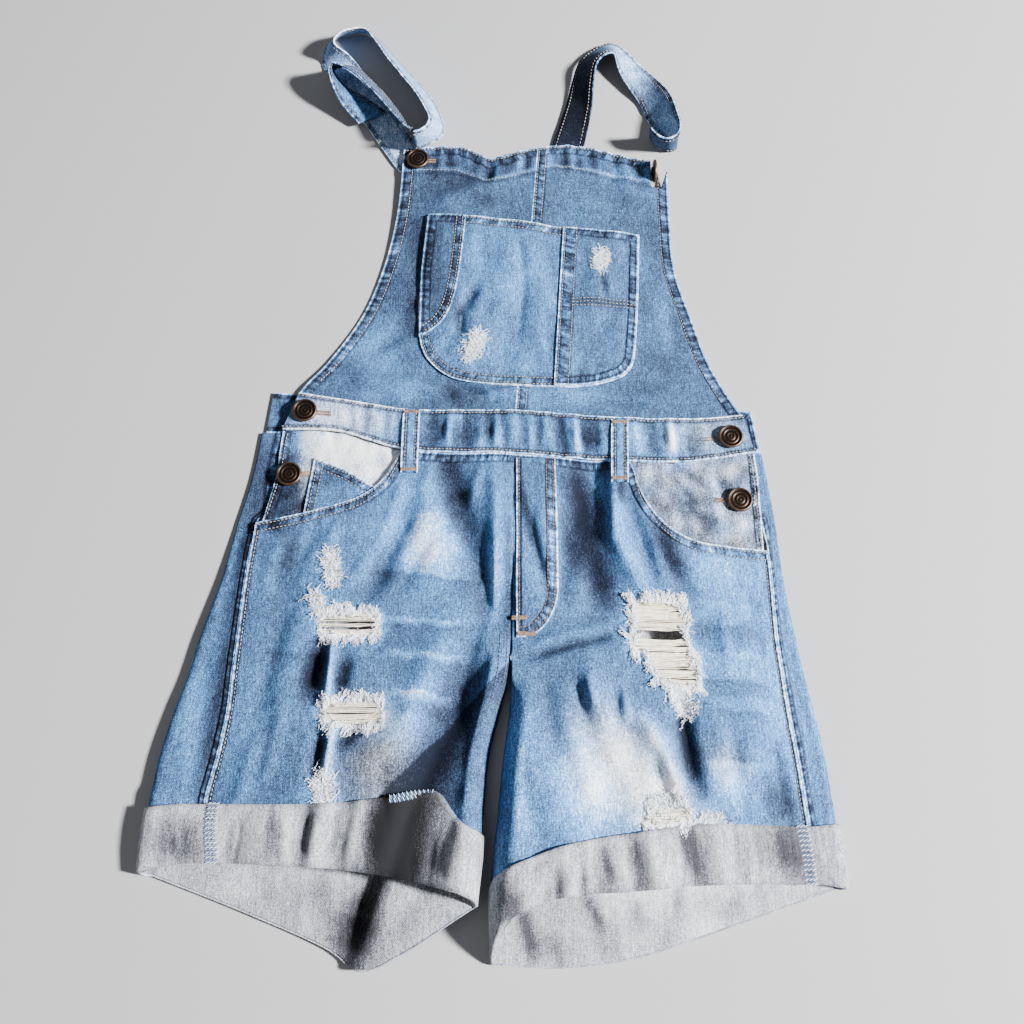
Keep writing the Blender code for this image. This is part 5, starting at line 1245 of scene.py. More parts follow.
# The straps: two doubled strips of denim 32 mm wide, with a row of stitches along each edge, that run from
# under the bib, stand on edge in a loop and come down to the bib's buttons
STRAP_WIDTH = 32.0
STRAPS = {
    "strap_left": [
        (0, -68, 218, 1.3, -36, 218, 1.3), (1, -83, 236, 1.3, -56, 253, 1.3),
        (2, -98, 247, 1.3, -74, 272, 1.3), (3, -115, 262, 1.3, -90, 286, 1.3),
        (4, -134, 291, 1.3, -108, 313, 1.3), (5, -153, 323, 1.3, -127, 343, 1.3),
        (6, -172, 353, 1.3, -146, 371, 1.3), (7, -190, 382, 1.3, -162, 391, 4),
        (8, -197, 404, 1.6, -181, 396, 26), (9, -189, 424, 1.6, -176, 411, 26),
        (10, -171, 434, 1.6, -163, 417, 26), (11, -154, 434, 1.6, -151, 416, 26),
        (12, -141, 424, 1.6, -143, 406, 26), (13, -124, 403, 1.6, -131, 386, 26),
        (14, -105, 378, 1.6, -116, 363, 26), (15, -88, 355, 1.6, -101, 342, 26),
        (16, -75, 330, 1.6, -90, 321, 28), (17, -71, 311, 2, -84, 305, 30),
        (18, -76, 298, 5, -85, 291, 34), (19, -86, 289, 7.5, -91, 282, 38),
        (20, -97, 283.5, 8.2, -97, 279, 39.5),
    ],
    "strap_left_tail": [
        (0, -100, 286, 35, -101, 304, 9.5), (1, -107, 291, 34, -107, 312, 8),
        (2, -121, 310, 32, -120, 336, 6), (3, -136, 329, 32, -134, 356, 6),
        (4, -153, 349, 33, -151, 375, 7), (5, -168, 361, 34, -167, 385, 8),
        (6, -180, 366, 34, -183, 382, 8), (7, -183, 358, 33, -181, 372, 8),
        (8, -178, 346, 26, -169, 357, 8), (9, -168, 332, 16, -150, 344, 6),
        (10, -153, 315, 8, -130, 330, 4.4),
    ],
    "strap_right": [
        (0, 21, 218, 1.3, 53, 218, 1.3), (1, 30, 262, 1.3, 62, 262, 1.3),
        (2, 37, 291, 1.3, 68, 288, 6), (3, 45, 318, 1.3, 73, 308, 13),
        (4, 53, 349, 1.3, 78, 332, 18), (5, 58, 375, 1.3, 80, 354, 22),
        (6, 65, 396, 1.3, 84, 373, 25), (7, 78, 411, 1.6, 92, 383, 26),
        (8, 96, 420, 3, 100, 386, 23), (9, 111, 415, 3, 102, 379, 16),
        (10, 124, 402, 3, 106, 368, 11), (11, 134, 387, 3, 114, 357, 7),
        (12, 145, 369, 6, 125, 344, 2.5), (13, 153, 346, 14, 131, 332, 1.6),
        (14, 157, 320, 22, 138, 318, 1.6), (15, 160, 297, 28, 151, 302, 1.6),
        (16, 157, 283, 31, 160, 290, 1.6), (17, 147, 277, 31, 152, 286, 1.6),
        (18, 138, 281, 31, 141, 292, 1.6), (19, 131, 290, 31, 135, 303, 1.6),
    ],
}
# The dye lost along each strap, by step: on its right side and on its under side. The right strap's dark
# start, where it rises from under the bib, is partly painted shade.
STRAP_WASH_AND_SHADE = {
    "strap_left": Table("step right under", [
        (0, 0.76, 0.4), (3, 0.8, 0.4), (6, 0.76, 0.4), (8, 0.66, 0.7), (10, 0.64, 0.84), (12, 0.68, 0.6),
        (14, 0.72, 0.3), (18, 0.76, 0.35), (20, 0.7, 0.4)]),
    "strap_left_tail": Table("step right under", [
        (0, 0.35, 0.3), (3, 0.45, 0.3), (6, 0.42, 0.3), (8, 0.5, 0.5), (10, 0.62, 0.6)]),
    "strap_right": Table("step right under", [
        (0, 0.1, 0.1), (4, 0.06, 0.06), (6, 0.24, 0.24), (8, 0.62, 0.3), (11, 0.7, 0.3), (12, 0.45, 0.3),
        (14, 0.7, 0.3), (16, 0.75, 0.35), (19, 0.6, 0.4)]),
}
STRAP_GREYED, STRAP_HEM, STRAP_ROWS, STITCH_OFF = 0.25, 5.0, 4.2, 0.15
# Places across a strap, in widths, and how far its two skins are from its middle there, in thicknesses
ACROSS = np.array([-0.5, -0.47, -0.4, -0.3, -0.15, 0, 0.15, 0.3, 0.4, 0.47, 0.5])
SKINS = np.where(np.abs(ACROSS) > 0.45, 0.36, np.where(np.abs(ACROSS) > 0.36, 0.5, 0.44))


def unit(vectors):
    return vectors / np.linalg.norm(vectors, axis=1, keepdims=True)


strap_lines = {}
for name, rows in STRAPS.items():
    table, last = Table("step ax ay az bx by bz", rows), rows[-1][0]

    def edges(steps, table=table):
        return [spot(*(table.at(end + axis, steps) for axis in "xyz")) for end in "ab"]

    fine = np.linspace(0, last, 1200)
    middle = sum(edges(fine)) / 2
    run = np.concatenate([[0], np.cumsum(np.linalg.norm(np.diff(middle, axis=0), axis=1))])
    lengths = np.linspace(0, run[-1], round(run[-1] / 2.6))
    steps = np.interp(lengths, run, fine)
    ahead = unit(sum(edges(np.minimum(steps + 0.05, last))) - sum(edges(np.maximum(steps - 0.05, 0))))
    left, right = edges(steps)
    across = unit(right - left)
    face = unit(np.cross(across, ahead))
    middle = (left + right) / 2
    around = np.concatenate([ACROSS, ACROSS[::-1]])
    off = np.concatenate([SKINS, -SKINS[::-1]]) * DOUBLE_CLOTH
    waver = 0.25 * unrest(lengths, 0, 26, 121)[:, None]
    rings = middle[:, None] + across[:, None] * around[:, None] * STRAP_WIDTH
    rings = rings + face[:, None] * (off + waver)[:, :, None]
    rings[..., 2] += np.maximum(0, -rings[..., 2].min(axis=1))[:, None]
    right_side = off > 0
    right_wash, under_wash = (STRAP_WASH_AND_SHADE[name].at(column, steps)[:, None] for column in ("right", "under"))
    uneven = unrest(lengths[:, None] * 1.2, around * 40, 22, 122)
    fade_and_shade = np.where(right_side, right_wash, under_wash) + 0.06 * uneven
    grey = np.where(right_side, STRAP_GREYED, 0.0) + 0 * fade_and_shade
    away = (0.5 - np.abs(around)) * STRAP_WIDTH + 0.9 + 0 * fade_and_shade
    edge = np.stack([lengths[:, None] + 0 * fade_and_shade, away, STRAP_HEM + 0 * fade_and_shade], axis=-1).reshape(-1, 3)
    strap = hoop(f"cloth_{name}", rings, fade_and_shade, grey, edge, [0], capped=True)
    aside, raised = STRAP_WIDTH / 2 - STRAP_ROWS, DOUBLE_CLOTH / 2 + STITCH_OFF
    strap_lines[name] = [middle + across * k * aside + face * (s * raised + waver)
                         for k in (-1, 1) for s in (-1, 1)]
    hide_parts(name)

# The buttons: six cast shank buttons in antique bronze, a rim and two low rings round a plain boss, each
# riveted through the cloth on its stem and worn bright on the rims
BUTTON_FORM = [
    (0, 0), (4, 0), (4, 1.4), (9.9, 1.7), (10.7, 2.1), (11, 2.9), (10.8, 3.7), (10.2, 4.3), (9.5, 4.4),
    (9.0, 4.0), (8.6, 3.5), (7.7, 3.4), (7.1, 3.6), (6.7, 4.0), (6.2, 4.0), (5.8, 3.6), (5.0, 3.4),
    (4.4, 3.4), (3.9, 3.7), (3.4, 3.9), (2.6, 3.9), (2.1, 3.6), (1.4, 3.6), (0.7, 3.9), (0, 4.0),
]
BUTTON_SIDES = 48
BRONZE_STOPS = [(0.0, (0.012, 0.008, 0.006)), (0.45, (0.04, 0.022, 0.014)), (1.0, (0.2, 0.12, 0.075))]
bronze, tree, shader = new_material("antique bronze", 0.4)
place = put(tree, "ShaderNodeTexCoord").outputs["Object"]
patina = stretched_noise(tree, place, (1, 1, 1), 900.0, 5.0)
worn = put(tree, "ShaderNodeNewGeometry").outputs["Pointiness"]
worn = put(tree, "ShaderNodeMapRange", {"Value": worn, "From Min": 0.5, "From Max": 0.58}).outputs[0]
shade = sums(tree, "ADD", worn, sums(tree, "MULTIPLY", patina, 0.8))
tree.links.new(ramp(tree, shade, BRONZE_STOPS), shader.inputs["Base Color"])
shader.inputs["Metallic"].default_value = 0.85
rough = {"Value": patina, "From Min": -0.3, "From Max": 0.3, "To Min": 0.3, "To Max": 0.55}
tree.links.new(put(tree, "ShaderNodeMapRange", rough).outputs[0], shader.inputs["Roughness"])


def clear_height(height, x, y, reach=4.0):
    return float(max(height(x + i * reach, y + j * reach) for i in (-1, 0, 1) for j in (-1, 0, 1)))


def button(name, x, y, z, tip=0.0):
    """A button standing on the cloth at x, y, tipped in degrees about Y."""
    turns = np.arange(BUTTON_SIDES) * math.tau / BUTTON_SIDES
    form = bmesh.new()
    rings = []
    for radius, height in BUTTON_FORM:
        around = turns if radius else turns[:1]
        rings.append([form.verts.new((radius * math.cos(a), radius * math.sin(a), height)) for a in around])
    for low, high in zip(rings, rings[1:]):
        for k in range(BUTTON_SIDES):
            j = (k + 1) % BUTTON_SIDES
            ring = [low[k % len(low)], low[j % len(low)], high[j % len(high)], high[k % len(high)]]
            form.faces.new(list(dict.fromkeys(ring)))
    bmesh.ops.recalc_face_normals(form, faces=form.faces)
    stands = Matrix.Translation(Vector(WAIST_IN_PART) * MM) @ Matrix.Scale(MM, 4)
    stands = stands @ Matrix.Translation((x, y, z + GAP)) @ Matrix.Rotation(math.radians(tip), 4, "Y")
    bmesh.ops.transform(form, matrix=stands, verts=form.verts)
    mesh = bpy.data.meshes.new(name)
    form.to_mesh(mesh)
    form.free()
    mesh.shade_smooth()
    mesh.materials.append(bronze)
    made = bpy.data.objects.new(f"cast_{name}", mesh)
    bpy.context.collection.objects.link(made)
    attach(made, "root")
    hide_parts(name)


button("button_bib_left", -95, 271, clear_height(bib_height, -95, 271))
button("button_bib_right", 132.7, 255, 11.2 - GAP, 90)
button("button_waist_left", -187, 0, clear_height(band_height, -187, 0))
button("button_waist_right", 190, -25, clear_height(band_height, 190, -25))
button("button_hip_left", -197, -60, clear_height(front_height, -197, -60) - HIP_DROP[LEFT])
button("button_hip_right", 194, -84, clear_height(front_height, 194, -84) - HIP_DROP[RIGHT])

# The stitching: rows of lockstitch in off-white, tan and dark blue thread, sunk a little in the cloth, with
# bartacks and buttonholes worked closely in tan
def thread_tree(name, settings):
    """A new group of nodes from a mesh to a mesh, with the sockets at its start and its end."""
    tree = bpy.data.node_groups.new(name, "GeometryNodeTree")
    tree.interface.new_socket("Geometry", in_out="INPUT", socket_type="NodeSocketGeometry")
    for setting, kind in settings.items():
        tree.interface.new_socket(setting, in_out="INPUT", socket_type=f"NodeSocket{kind}")
    tree.interface.new_socket("Geometry", in_out="OUTPUT", socket_type="NodeSocketGeometry")
    return tree, tree.nodes.new("NodeGroupInput").outputs, tree.nodes.new("NodeGroupOutput").inputs


def stitch_tree():
    """A bead of thread for each stitch, laid along the lines of a mesh."""
    numbers = dict.fromkeys(("Pitch", "Stitch length", "Thread radius", "Turn"), "Float")
    tree, given, result = thread_tree("rows of stitches", {**numbers, "Thread": "Material"})
    path = put(tree, "GeometryNodeMeshToCurve", {0: given["Geometry"]}).outputs[0]
    spaced = {"Curve": path, "Length": given["Pitch"]}
    points = put(tree, "GeometryNodeResampleCurve", spaced, mode="LENGTH").outputs[0]
    bead = put(tree, "GeometryNodeMeshUVSphere", {"Segments": 6, "Rings": 4, "Radius": 0.5}).outputs[0]
    thick = sums(tree, "MULTIPLY", given["Thread radius"], 2.0)
    size = put(tree, "ShaderNodeCombineXYZ", {0: given["Stitch length"], 1: thick, 2: thick}).outputs[0]
    bead = put(tree, "GeometryNodeTransform", {"Geometry": bead, "Scale": size}).outputs[0]
    along = put(tree, "GeometryNodeInputTangent").outputs[0]
    lie = put(tree, "FunctionNodeAlignRotationToVector", {"Vector": along}, axis="X").outputs[0]
    slant = put(tree, "ShaderNodeCombineXYZ", {2: given["Turn"]}).outputs[0]
    slant = put(tree, "FunctionNodeEulerToRotation", {0: slant}).outputs[0]
    lie = put(tree, "FunctionNodeRotateRotation", {0: lie, 1: slant}, rotation_space="LOCAL").outputs[0]
    laid_beads = {"Points": points, "Instance": bead, "Rotation": lie}
    laid_beads = put(tree, "GeometryNodeInstanceOnPoints", laid_beads).outputs[0]
    solid = put(tree, "GeometryNodeRealizeInstances", {0: laid_beads}).outputs[0]
    smooth = put(tree, "GeometryNodeSetShadeSmooth", {0: solid}).outputs[0]
    done = put(tree, "GeometryNodeSetMaterial", {"Geometry": smooth, "Material": given["Thread"]}).outputs[0]
    tree.links.new(done, result[0])
    return tree

def grown(name, tree, base, values):
    """The plain mesh that a tree of nodes makes of a base mesh, as a piece that rides on the garment."""
    source = bpy.data.objects.new("base", base)
    bpy.context.collection.objects.link(source)
    live = source.modifiers.new("grow", "NODES")
    live.node_group = tree
    for item in tree.interface.items_tree:
        if item.item_type == "SOCKET" and item.in_out == "INPUT" and item.name in values:
            live[item.identifier] = values[item.name]
    made = bpy.data.meshes.new_from_object(source.evaluated_get(bpy.context.evaluated_depsgraph_get()))
    made.name = name
    bpy.data.objects.remove(source)
    piece = bpy.data.objects.new(name, made)
    bpy.context.collection.objects.link(piece)
    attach(piece, "root")
    return piece


STITCHES = stitch_tree()


def sew(name, lines, thread, pitch=3.3, length=2.7, radius=0.4, turn=0.0):
    """Rows of stitches along lines of points in millimetres."""
    points, bonds, start = [], [], 0
    for line in lines:
        points += ((np.asarray(line) + WAIST_IN_PART) * MM).tolist()
        bonds += [(start + i, start + i + 1) for i in range(len(line) - 1)]
        start += len(line)
    base = bpy.data.meshes.new("rows")
    base.from_pydata(points, bonds, [])
    values = {"Pitch": pitch * MM, "Stitch length": length * MM, "Thread radius": radius * MM, "Turn": turn}
    grown(name, STITCHES, base, {**values, "Thread": thread})


def thread_material(name, dark, light):
    made, tree, shader = new_material(name, 0.75)
    place = put(tree, "ShaderNodeTexCoord").outputs["Object"]
    uneven = sums(tree, "ADD", stretched_noise(tree, place, (1, 1, 1), 240.0, 3.0), 0.5)
    tree.links.new(ramp(tree, uneven, [(0.3, dark), (0.7, light)]), shader.inputs["Base Color"])
    return made


PALE_THREAD = thread_material("faded thread", (0.1, 0.09, 0.085), (0.46, 0.42, 0.38))
TAN_THREAD = thread_material("tan thread", (0.12, 0.07, 0.04), (0.36, 0.24, 0.14))
DARK_THREAD = thread_material("dark blue thread", (0.02, 0.025, 0.05), (0.16, 0.17, 0.2))


def moved_in(line, reach):
    """A flat line moved sideways by reach, to the left of its run."""
    line = np.asarray(line, float)
    step = np.gradient(line, axis=0)
    step /= np.maximum(np.linalg.norm(step, axis=1, keepdims=True), 1e-9)
    return line + np.stack([-step[:, 1], step[:, 0]], axis=1) * reach


def laid(line, place, off=0.25):
    """A flat line's points on a surface, a little off it."""
    line = np.asarray(line, float)
    return place(line[:, 0], line[:, 1]) + [0, 0, off]


def front_lines(side):
    """The rows on a front: two at its pocket mouth and one at its outseam."""
    place = lambda u, v: front_point(side, np.asarray(u) / FRONT_SPREAD, v)
    top = front_tops[side]
    xs = place(top[:, 0], top[:, 1])[:, 0]
    mouth = top[(xs < POCKET_CORNER[LEFT]) if side == LEFT else (xs > POCKET_CORNER[RIGHT])]
    ys = np.linspace(top[0][1] - 10, CUFF_TOP[side].at("y", 0.0) + 1, 90)
    outseam = np.stack([np.full(90, 3.4), ys], axis=1)
    return [laid(line, place) for line in (mouth - [0, 2.6], mouth - [0, 8.6], outseam)]


def on_left_front(x, y):
    return front_point(LEFT, share_of(LEFT, x, y), y)


def on_fly(x, y):
    return on_right_front(x, y) + [0, 0, GAP + FLY_THICK]


for side in SIDES:
    sew(f"stitches_front_{side}", front_lines(side), PALE_THREAD)
ys = np.linspace(-206, -262, 30)
centre = HALF[LEFT].at("inner", ys)
rise_rows = [laid(np.stack([centre - reach, ys], axis=1), on_left_front, 0.5) for reach in (3.0, 9.0)]
sew("stitches_rise", rise_rows, DARK_THREAD)
fly_rows = [laid(moved_in(row(fly_edge[:-1]), -reach), on_fly) for reach in (2.6, 8.2)]
fly_rows.append(laid(row([(FLY_LEFT + 2.2, FLY_TOP), (FLY_LEFT + 2.2, FLY_END + 4)]), on_fly))
sew("stitches_fly", fly_rows, TAN_THREAD)
band_rows = [laid(line, on_band) for line in (band_top - [0, 2.8], band_low + [0, 2.8])]
sew("stitches_waistband", band_rows, PALE_THREAD)
bib_rows = []
for side in SIDES:
    top, flank = bib_edges[side]
    lines = (top[4:-6] - [0, BIB_TOP_HEM], top - [0, 2.5], flank[3:-3] + [-OUTWARD[side] * 9.8, 0])
    bib_rows += [laid(line, on_bib) for line in lines]
for ys in (np.linspace(284, 203, 50), np.linspace(21, 4, 12)):
    bib_rows += [laid(np.stack([seam_x(ys) + reach, ys], axis=1), on_bib) for reach in (2.4, 9.0)]
sew("stitches_bib", bib_rows, PALE_THREAD)
pocket_rows = [laid(moved_in(closed_line(MAIN_POCKET), -reach), on_pocket(1)) for reach in (2.5, 8.3)]
side_curve = np.array(SIDE_POCKET[1:-1])
side_curve = row(side_curve[side_curve[:, 0] > -82])
pocket_rows += [laid(moved_in(side_curve, -reach), on_pocket(2)) for reach in (2.5, 8.3)]
pen_lines = (row([(35, 27), (40, 100)]), row([(40, 100), (46, 190.5)]))
pocket_rows += [laid(line + [reach, 0], on_pocket(2)) for line in pen_lines for reach in (2.4, 12.8)]
pocket_rows += [laid(row([(54, y), (111, y - 2)]), on_pocket(2)) for y in (106.5, 110.0, 113.5)]
sew("stitches_pocket", pocket_rows, PALE_THREAD)
loop_rows = [laid(row([(x, 2), (x, 60)]), loop_places[side]) for side in SIDES for x in (-4.2, 4.2)]
sew("stitches_belt_loops", loop_rows, PALE_THREAD)
on_coin, coin_mouth = over_front(-COIN_DROP), np.array(COIN_CORNERS[:3])
hip_rows = [laid(row(coin_mouth - [0, reach]), on_coin) for reach in (2.6, 8.4)]
hip_rows += [laid(row([(x, -48), (x - 6, -100)]), on_coin) for x in (-173.0, -168.0)]
for side in SIDES:
    ends = FRONT_ENDS[side]
    ys = np.linspace(ends.rows[0][0] + 8, WAIST_BOTTOM.at("y", ends.at("x", -45)) - 4, 24)
    line = np.stack([ends.at("x", ys) - OUTWARD[side] * 4.5, ys], axis=1)
    hip_rows.append(laid(line, over_front(0.6 - HIP_DROP[side])))
sew("stitches_hips", hip_rows, PALE_THREAD)
sew("stitches_straps", [line for lines in strap_lines.values() for line in lines], PALE_THREAD, pitch=3.6)
OVERLOCK_AT = {LEFT: -238.0, RIGHT: 226.0}
FRINGE_THREAD = thread_material("frayed ends", (0.66, 0.74, 0.86), (0.99, 0.99, 0.99))
BLUE_THREAD = thread_material("mid blue thread", (0.015, 0.03, 0.07), (0.08, 0.17, 0.33))
strips = []
for side in SIDES:
    rows = cuff_faces[side]
    up_facing = rows[:, 6, 2] > 8.0
    column = np.where(up_facing, np.abs(rows[:, 6, 0] - OVERLOCK_AT[side]), 1e9).argmin()
    strips += [rows[column] + [reach, 0, 0.5] for reach in (-3.0, 0.0, 3.0)]
brow = cuff_faces[LEFT][:, 0]
brow = brow[(brow[:, 0] > -98) & (brow[:, 0] < -62) & (brow[:, 2] > 8.0)]
strips += [brow + [0, reach, 0.3] for reach in (-1.5, -4.5)]
sew("overlock_blue", strips, BLUE_THREAD, pitch=1.3, length=4.2, radius=0.42, turn=1.25)
sew("overlock_white", [line + [0.6, 0.4, 0.25] for line in strips], FRINGE_THREAD, pitch=3.4, length=4.6,
    radius=0.3, turn=1.9)
tacks = []
for side in SIDES:
    tacks += [laid([(-6.5, v), (6.5, v)], loop_places[side], 0.3) for v in (2.0, 3.4, 58.5, 60.0)]
for bar in ([(2, -203), (16, -204)], [(-3, -190), (9, -190)]):
    tacks += [laid(np.subtract(bar, [0, k]), on_fly, 0.3) for k in (0.0, 1.6)]
buttonholes = [
    ([(-186, 0), (-164, -2)], on_band), ([(190, -25), (166, -27)], on_band),
    ([(-196, -60), (-176, -58)], over_front(0.3 - HIP_DROP[LEFT])),
    ([(193, -84), (172, -84)], over_front(0.3 - HIP_DROP[RIGHT])), ([(-95, 271), (-78, 271)], on_bib),
]
for slit, place in buttonholes:
    tacks += [laid(row(np.add(slit, [0, k]), 2), place, 0.3) for k in (-1.3, 1.3)]
sew("tacks_and_buttonholes", tacks, TAN_THREAD, pitch=0.8, length=2.4, radius=0.36, turn=1.4)

# The torn threads: white weft across each rip, where the blue warp is gone, and a white and blue fringe
# of broken ends round it, brushed up and down, with two smaller scuffed places on the bib's pocket
STRAND_KINDS, STRAND_POINTS = 5, 7


def strand_tree():
    """A loose thread at each point of a mesh, one of a few bent kinds, as its lie and reach there say."""
    settings = {"Thread radius": "Float", "Bend": "Float", "Seed": "Int", "Thread": "Material"}
    tree, given, result = thread_tree("loose threads", settings)
    bend = given["Bend"]
    least = sums(tree, "MULTIPLY", bend, -1.0)
    low, high = (put(tree, "ShaderNodeCombineXYZ", {1: b, 2: b}).outputs[0] for b in (least, bend))
    part = put(tree, "GeometryNodeSplineParameter").outputs[0]
    joined = put(tree, "GeometryNodeJoinGeometry")
    circle = {"Resolution": 3, "Radius": given["Thread radius"]}
    circle = put(tree, "GeometryNodeCurvePrimitiveCircle", circle).outputs[0]
    for kind in range(STRAND_KINDS):
        line = put(tree, "GeometryNodeCurvePrimitiveLine", {"Start": (0, 0, 0), "End": (1, 0, 0)}).outputs[0]
        line = put(tree, "GeometryNodeResampleCurve", {"Curve": line, "Count": STRAND_POINTS}).outputs[0]
        seed = sums(tree, "ADD", given["Seed"], kind * 17.0)
        wander = put(tree, "FunctionNodeRandomValue", {"Seed": seed}, data_type="FLOAT_VECTOR")
        tree.links.new(low, typed(wander.inputs, "VECTOR", "Min"))
        tree.links.new(high, typed(wander.inputs, "VECTOR", "Max"))
        offset = {0: typed(wander.outputs, "VECTOR", "Value"), 3: part}
        offset = put(tree, "ShaderNodeVectorMath", offset, operation="SCALE").outputs[0]
        line = put(tree, "GeometryNodeSetPosition", {"Geometry": line, "Offset": offset}).outputs[0]
        strand = put(tree, "GeometryNodeCurveToMesh", {"Curve": line, "Profile Curve": circle}).outputs[0]
        single = put(tree, "GeometryNodeGeometryToInstance", {0: strand}).outputs[0]
        tree.links.new(single, joined.inputs[0])
    choice = put(tree, "FunctionNodeRandomValue", {"Seed": given["Seed"]}, data_type="INT")
    typed(choice.inputs, "INT", "Min").default_value = 0
    typed(choice.inputs, "INT", "Max").default_value = STRAND_KINDS - 1
    lie = put(tree, "GeometryNodeInputNamedAttribute", {"Name": "lie"}, data_type="FLOAT_VECTOR").outputs[0]
    lie = put(tree, "FunctionNodeEulerToRotation", {0: lie}).outputs[0]
    reach = put(tree, "GeometryNodeInputNamedAttribute", {"Name": "reach"}, data_type="FLOAT").outputs[0]
    strewn = {
        "Points": put(tree, "GeometryNodeMeshToPoints", {0: given["Geometry"]}).outputs[0],
        "Instance": joined.outputs[0], "Pick Instance": True, "Rotation": lie,
        "Instance Index": typed(choice.outputs, "INT", "Value"),
        "Scale": put(tree, "ShaderNodeCombineXYZ", {0: reach, 1: 1.0, 2: 1.0}).outputs[0],
    }
    strewn = put(tree, "GeometryNodeInstanceOnPoints", strewn).outputs[0]
    solid = put(tree, "GeometryNodeRealizeInstances", {0: strewn}).outputs[0]
    done = put(tree, "GeometryNodeSetMaterial", {"Geometry": solid, "Material": given["Thread"]}).outputs[0]
    tree.links.new(done, result[0])
    return tree


STRANDS = strand_tree()


def strew(name, starts, ends, thread, radius, bend, seed):
    """Loose threads, each from a start to an end in millimetres."""
    run = ends - starts
    reach = np.linalg.norm(run, axis=1)
    yaw, pitch = np.arctan2(run[:, 1], run[:, 0]), np.arcsin(np.clip(run[:, 2] / reach, -1, 1))
    base = bpy.data.meshes.new("ends")
    base.from_pydata(((starts + WAIST_IN_PART) * MM).tolist(), [], [])
    lie = np.stack([0 * yaw, -pitch, yaw], axis=1).astype(np.float32)
    base.attributes.new("lie", "FLOAT_VECTOR", "POINT").data.foreach_set("vector", lie.ravel())
    base.attributes.new("reach", "FLOAT", "POINT").data.foreach_set("value", (reach * MM).astype(np.float32))
    values = {"Thread radius": radius * MM, "Bend": bend * MM, "Seed": seed, "Thread": thread}
    grown(name, STRANDS, base, values)


WEFT_THREAD = thread_material("bare weft", (0.74, 0.62, 0.42), (0.99, 0.97, 0.87))


def on_front(side, points, off):
    x, y = points[:, 0], points[:, 1]
    return front_point(side, share_of(side, x, y), y) + np.stack([0 * x, 0 * x, off + 0 * x], axis=1)


def crossings(loop, y):
    """Where a level line at y meets a closed loop, left to right."""
    found = []
    for (x0, y0), (x1, y1) in zip(loop, np.roll(loop, -1, axis=0)):
        if (y0 > y) != (y1 > y):
            found.append(x0 + (y - y0) * (x1 - x0) / (y1 - y0))
    return sorted(found)


GAPS = {LEFT: [(-194.8, -193.0), (-201.0, -197.2), (-269, -267.2)], RIGHT: [(-209, -200), (-234, -231)]}
WEFT_STEP, WEFT_LEFT, GAP_LEFT, WEFT_REACH, TUFT = 0.36, 0.86, 0.1, 2.5, 8


def torn_threads(side, rip, seed):
    """The weft left across a rip, and the fringe of ends round its edge."""
    chance = np.random.default_rng(seed)
    loop = np.asarray(rip, float)
    starts, ends = [], []
    for y in np.arange(loop[:, 1].min() + 0.4, loop[:, 1].max(), WEFT_STEP):
        marks = crossings(loop, y)
        left = GAP_LEFT if any(low < y < high for low, high in GAPS[side]) else WEFT_LEFT
        if len(marks) >= 2 and chance.random() < left:
            droop = chance.uniform(-0.9, 0.9, 2)
            starts.append((marks[0] - WEFT_REACH, y + droop[0], chance.uniform(-0.5, 0.8)))
            ends.append((marks[-1] + WEFT_REACH, y + droop[1], chance.uniform(-0.5, 0.8)))
    weft = [on_front(side, points, points[:, 2]) for points in (np.array(starts), np.array(ends))]
    once = through(loop, WEFT_STEP)
    rim = np.concatenate([once, once])
    tuft = np.tile(np.arange(len(once)) // TUFT, 2)
    rim = rim + chance.normal(0, 0.7, rim.shape)
    kinds = tuft.max() + 1
    upward = np.where(rim[:, 1] > loop[:, 1].mean(), 1.0, -1.0)
    outward = np.where(chance.random(len(rim)) < 0.88, 1.0, -0.4)
    lean = chance.normal(0, 0.42, kinds)[tuft] + chance.normal(0, 0.14, len(rim))
    reach = chance.uniform(5.0, 13.0, kinds)[tuft] * chance.uniform(0.6, 1.05, len(rim))
    tips = rim + np.stack([np.sin(lean), np.cos(lean) * upward * outward], axis=1) * reach[:, None]
    fringe = [on_front(side, rim, 0.2), on_front(side, tips, chance.uniform(0.3, 3.0, len(rim)))]
    return weft, fringe


def scuffed(chance, patch, spread, longest, highest):
    """Broken ends strewn along a line: their roots, their tips and how far each tip stands up."""
    x0, y0, x1, y1, wide, count = patch
    t = chance.random(count)
    roots = np.stack([mix(x0, x1, t), mix(y0, y1, t)], axis=1) + chance.normal(0, wide * spread, (count, 2))
    turn = chance.uniform(0, math.tau, count)
    reach = chance.uniform(*longest, count)
    tips = roots + np.stack([np.cos(turn), np.sin(turn)], axis=1) * reach[:, None]
    return roots, tips, chance.uniform(0.3, highest, count)


def strew_all(name, pairs, thread, bend, seed):
    strew(name, *(np.concatenate(part) for part in zip(*pairs)), thread, 0.34, bend, seed)


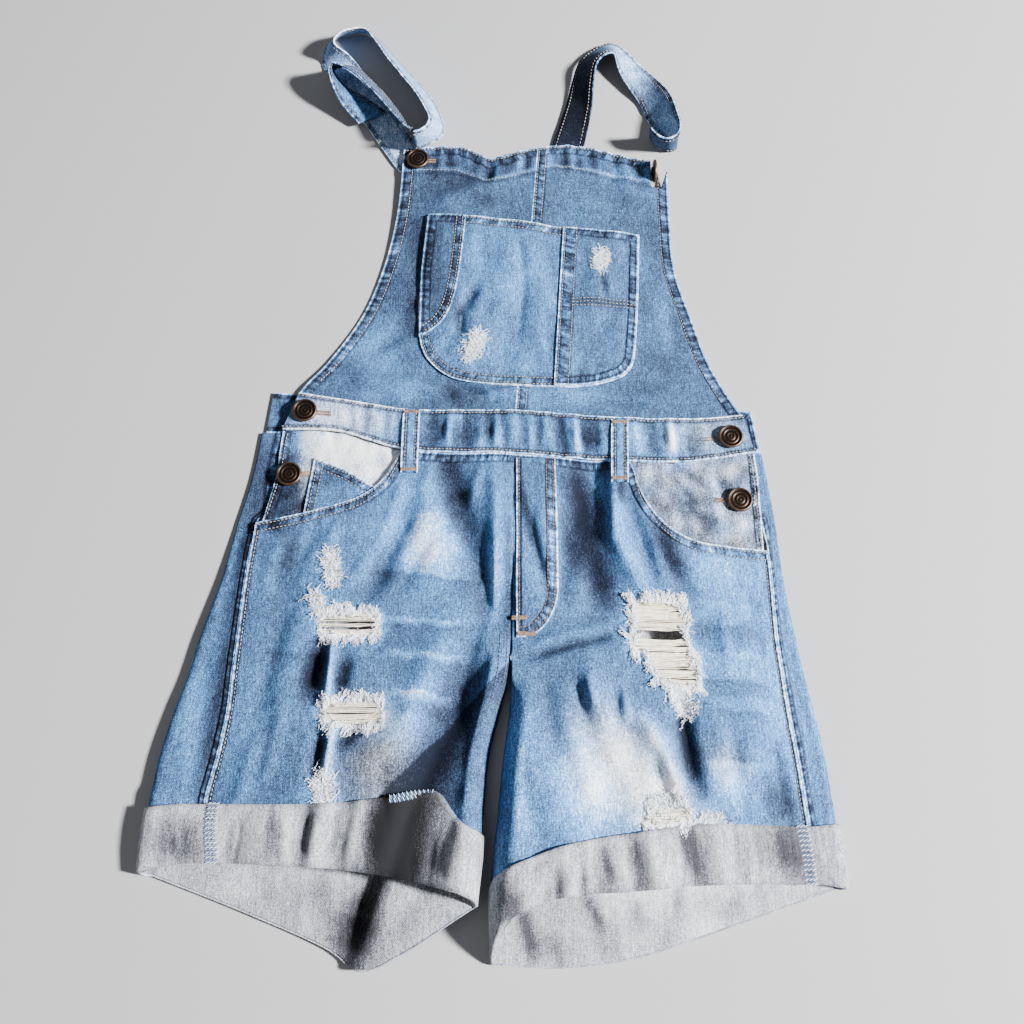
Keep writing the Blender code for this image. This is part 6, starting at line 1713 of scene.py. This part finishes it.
for side in SIDES:
    torn = [torn_threads(side, rip, 200 + k) for k, rip in enumerate(RIPS[side])]
    fringes = [fringe for _, fringe in torn]
    chance = np.random.default_rng(230)
    for patch in FUZZ[side]:
        roots, tips, lift = scuffed(chance, patch, 0.4, (2.5, 8.5), 2.5)
        fringes.append([on_front(side, roots, 0.1), on_front(side, tips, lift)])
    strew_all(f"weft_{side}", [weft for weft, _ in torn], WEFT_THREAD, 1.2, 3)
    strew_all(f"fringe_{side}", fringes, FRINGE_THREAD, 1.4, 5)
POCKET_FUZZ = [(1, (-42, 54, -32, 76, 8, 420)), (2, (80, 146, 82, 162, 6, 300))]
chance = np.random.default_rng(240)
fringes = []
for layers, patch in POCKET_FUZZ:
    roots, tips, lift = scuffed(chance, patch, 0.42, (2, 7.5), 2.4)
    on_patch = on_pocket(layers)
    up = np.stack([0 * lift, 0 * lift, lift], axis=1)
    fringes.append([on_patch(roots[:, 0], roots[:, 1]) + [0, 0, 0.1], on_patch(tips[:, 0], tips[:, 1]) + up])
strew_all("fringe_pocket", fringes, FRINGE_THREAD, 1.2, 7)

# The view: the camera at the photograph's angle, a plain pale floor, a key light that stands low on the
# right so that each fold casts its shade, and a soft fill
eye, aim = Vector((0.0153, -0.3668, 0.8264)), Vector((0.0153, -0.0823, 0.0))
camera = bpy.data.objects.new("camera", bpy.data.cameras.new("camera"))
camera.data.sensor_width, camera.data.lens = 36.0, 35.3
camera.matrix_world = Matrix.Translation(eye) @ (aim - eye).to_track_quat("-Z", "Y").to_matrix().to_4x4()
bpy.context.collection.objects.link(camera)
bpy.context.scene.camera = camera

FLOOR_HALF, FLOOR_DROP, FLOOR_GREY = 3.2, 0.0005, (0.36, 0.36, 0.37, 1)
corners = [(x * FLOOR_HALF, y * FLOOR_HALF, -FLOOR_DROP) for x, y in ((-1, -1), (1, -1), (1, 1), (-1, 1))]
floor_mesh = bpy.data.meshes.new("floor")
floor_mesh.from_pydata(corners, [], [(0, 1, 2, 3)])
floor = bpy.data.objects.new("floor", floor_mesh)
bpy.context.collection.objects.link(floor)
plain, _, shader = new_material("plain floor", 0.9)
shader.inputs["Base Color"].default_value = FLOOR_GREY
floor_mesh.materials.append(plain)

LAMPS = [("key", (3.1, -0.55, 2.35), 0.4, 880.0), ("fill", (-1.0, -0.6, 1.9), 1.6, 5.0)]
for name, place, size, watts in LAMPS:
    lamp = bpy.data.lights.new(name, "AREA")
    lamp.size, lamp.energy = size, watts
    made = bpy.data.objects.new(name, lamp)
    made.location = place
    made.rotation_euler = (aim - Vector(place)).to_track_quat("-Z", "Y").to_euler()
    bpy.context.collection.objects.link(made)
world = bpy.data.worlds.new("room")
world.use_nodes = True
sky = world.node_tree.nodes["Background"].inputs
sky["Color"].default_value, sky["Strength"].default_value = (0.8, 0.83, 0.88, 1), 0.22
bpy.context.scene.world = world
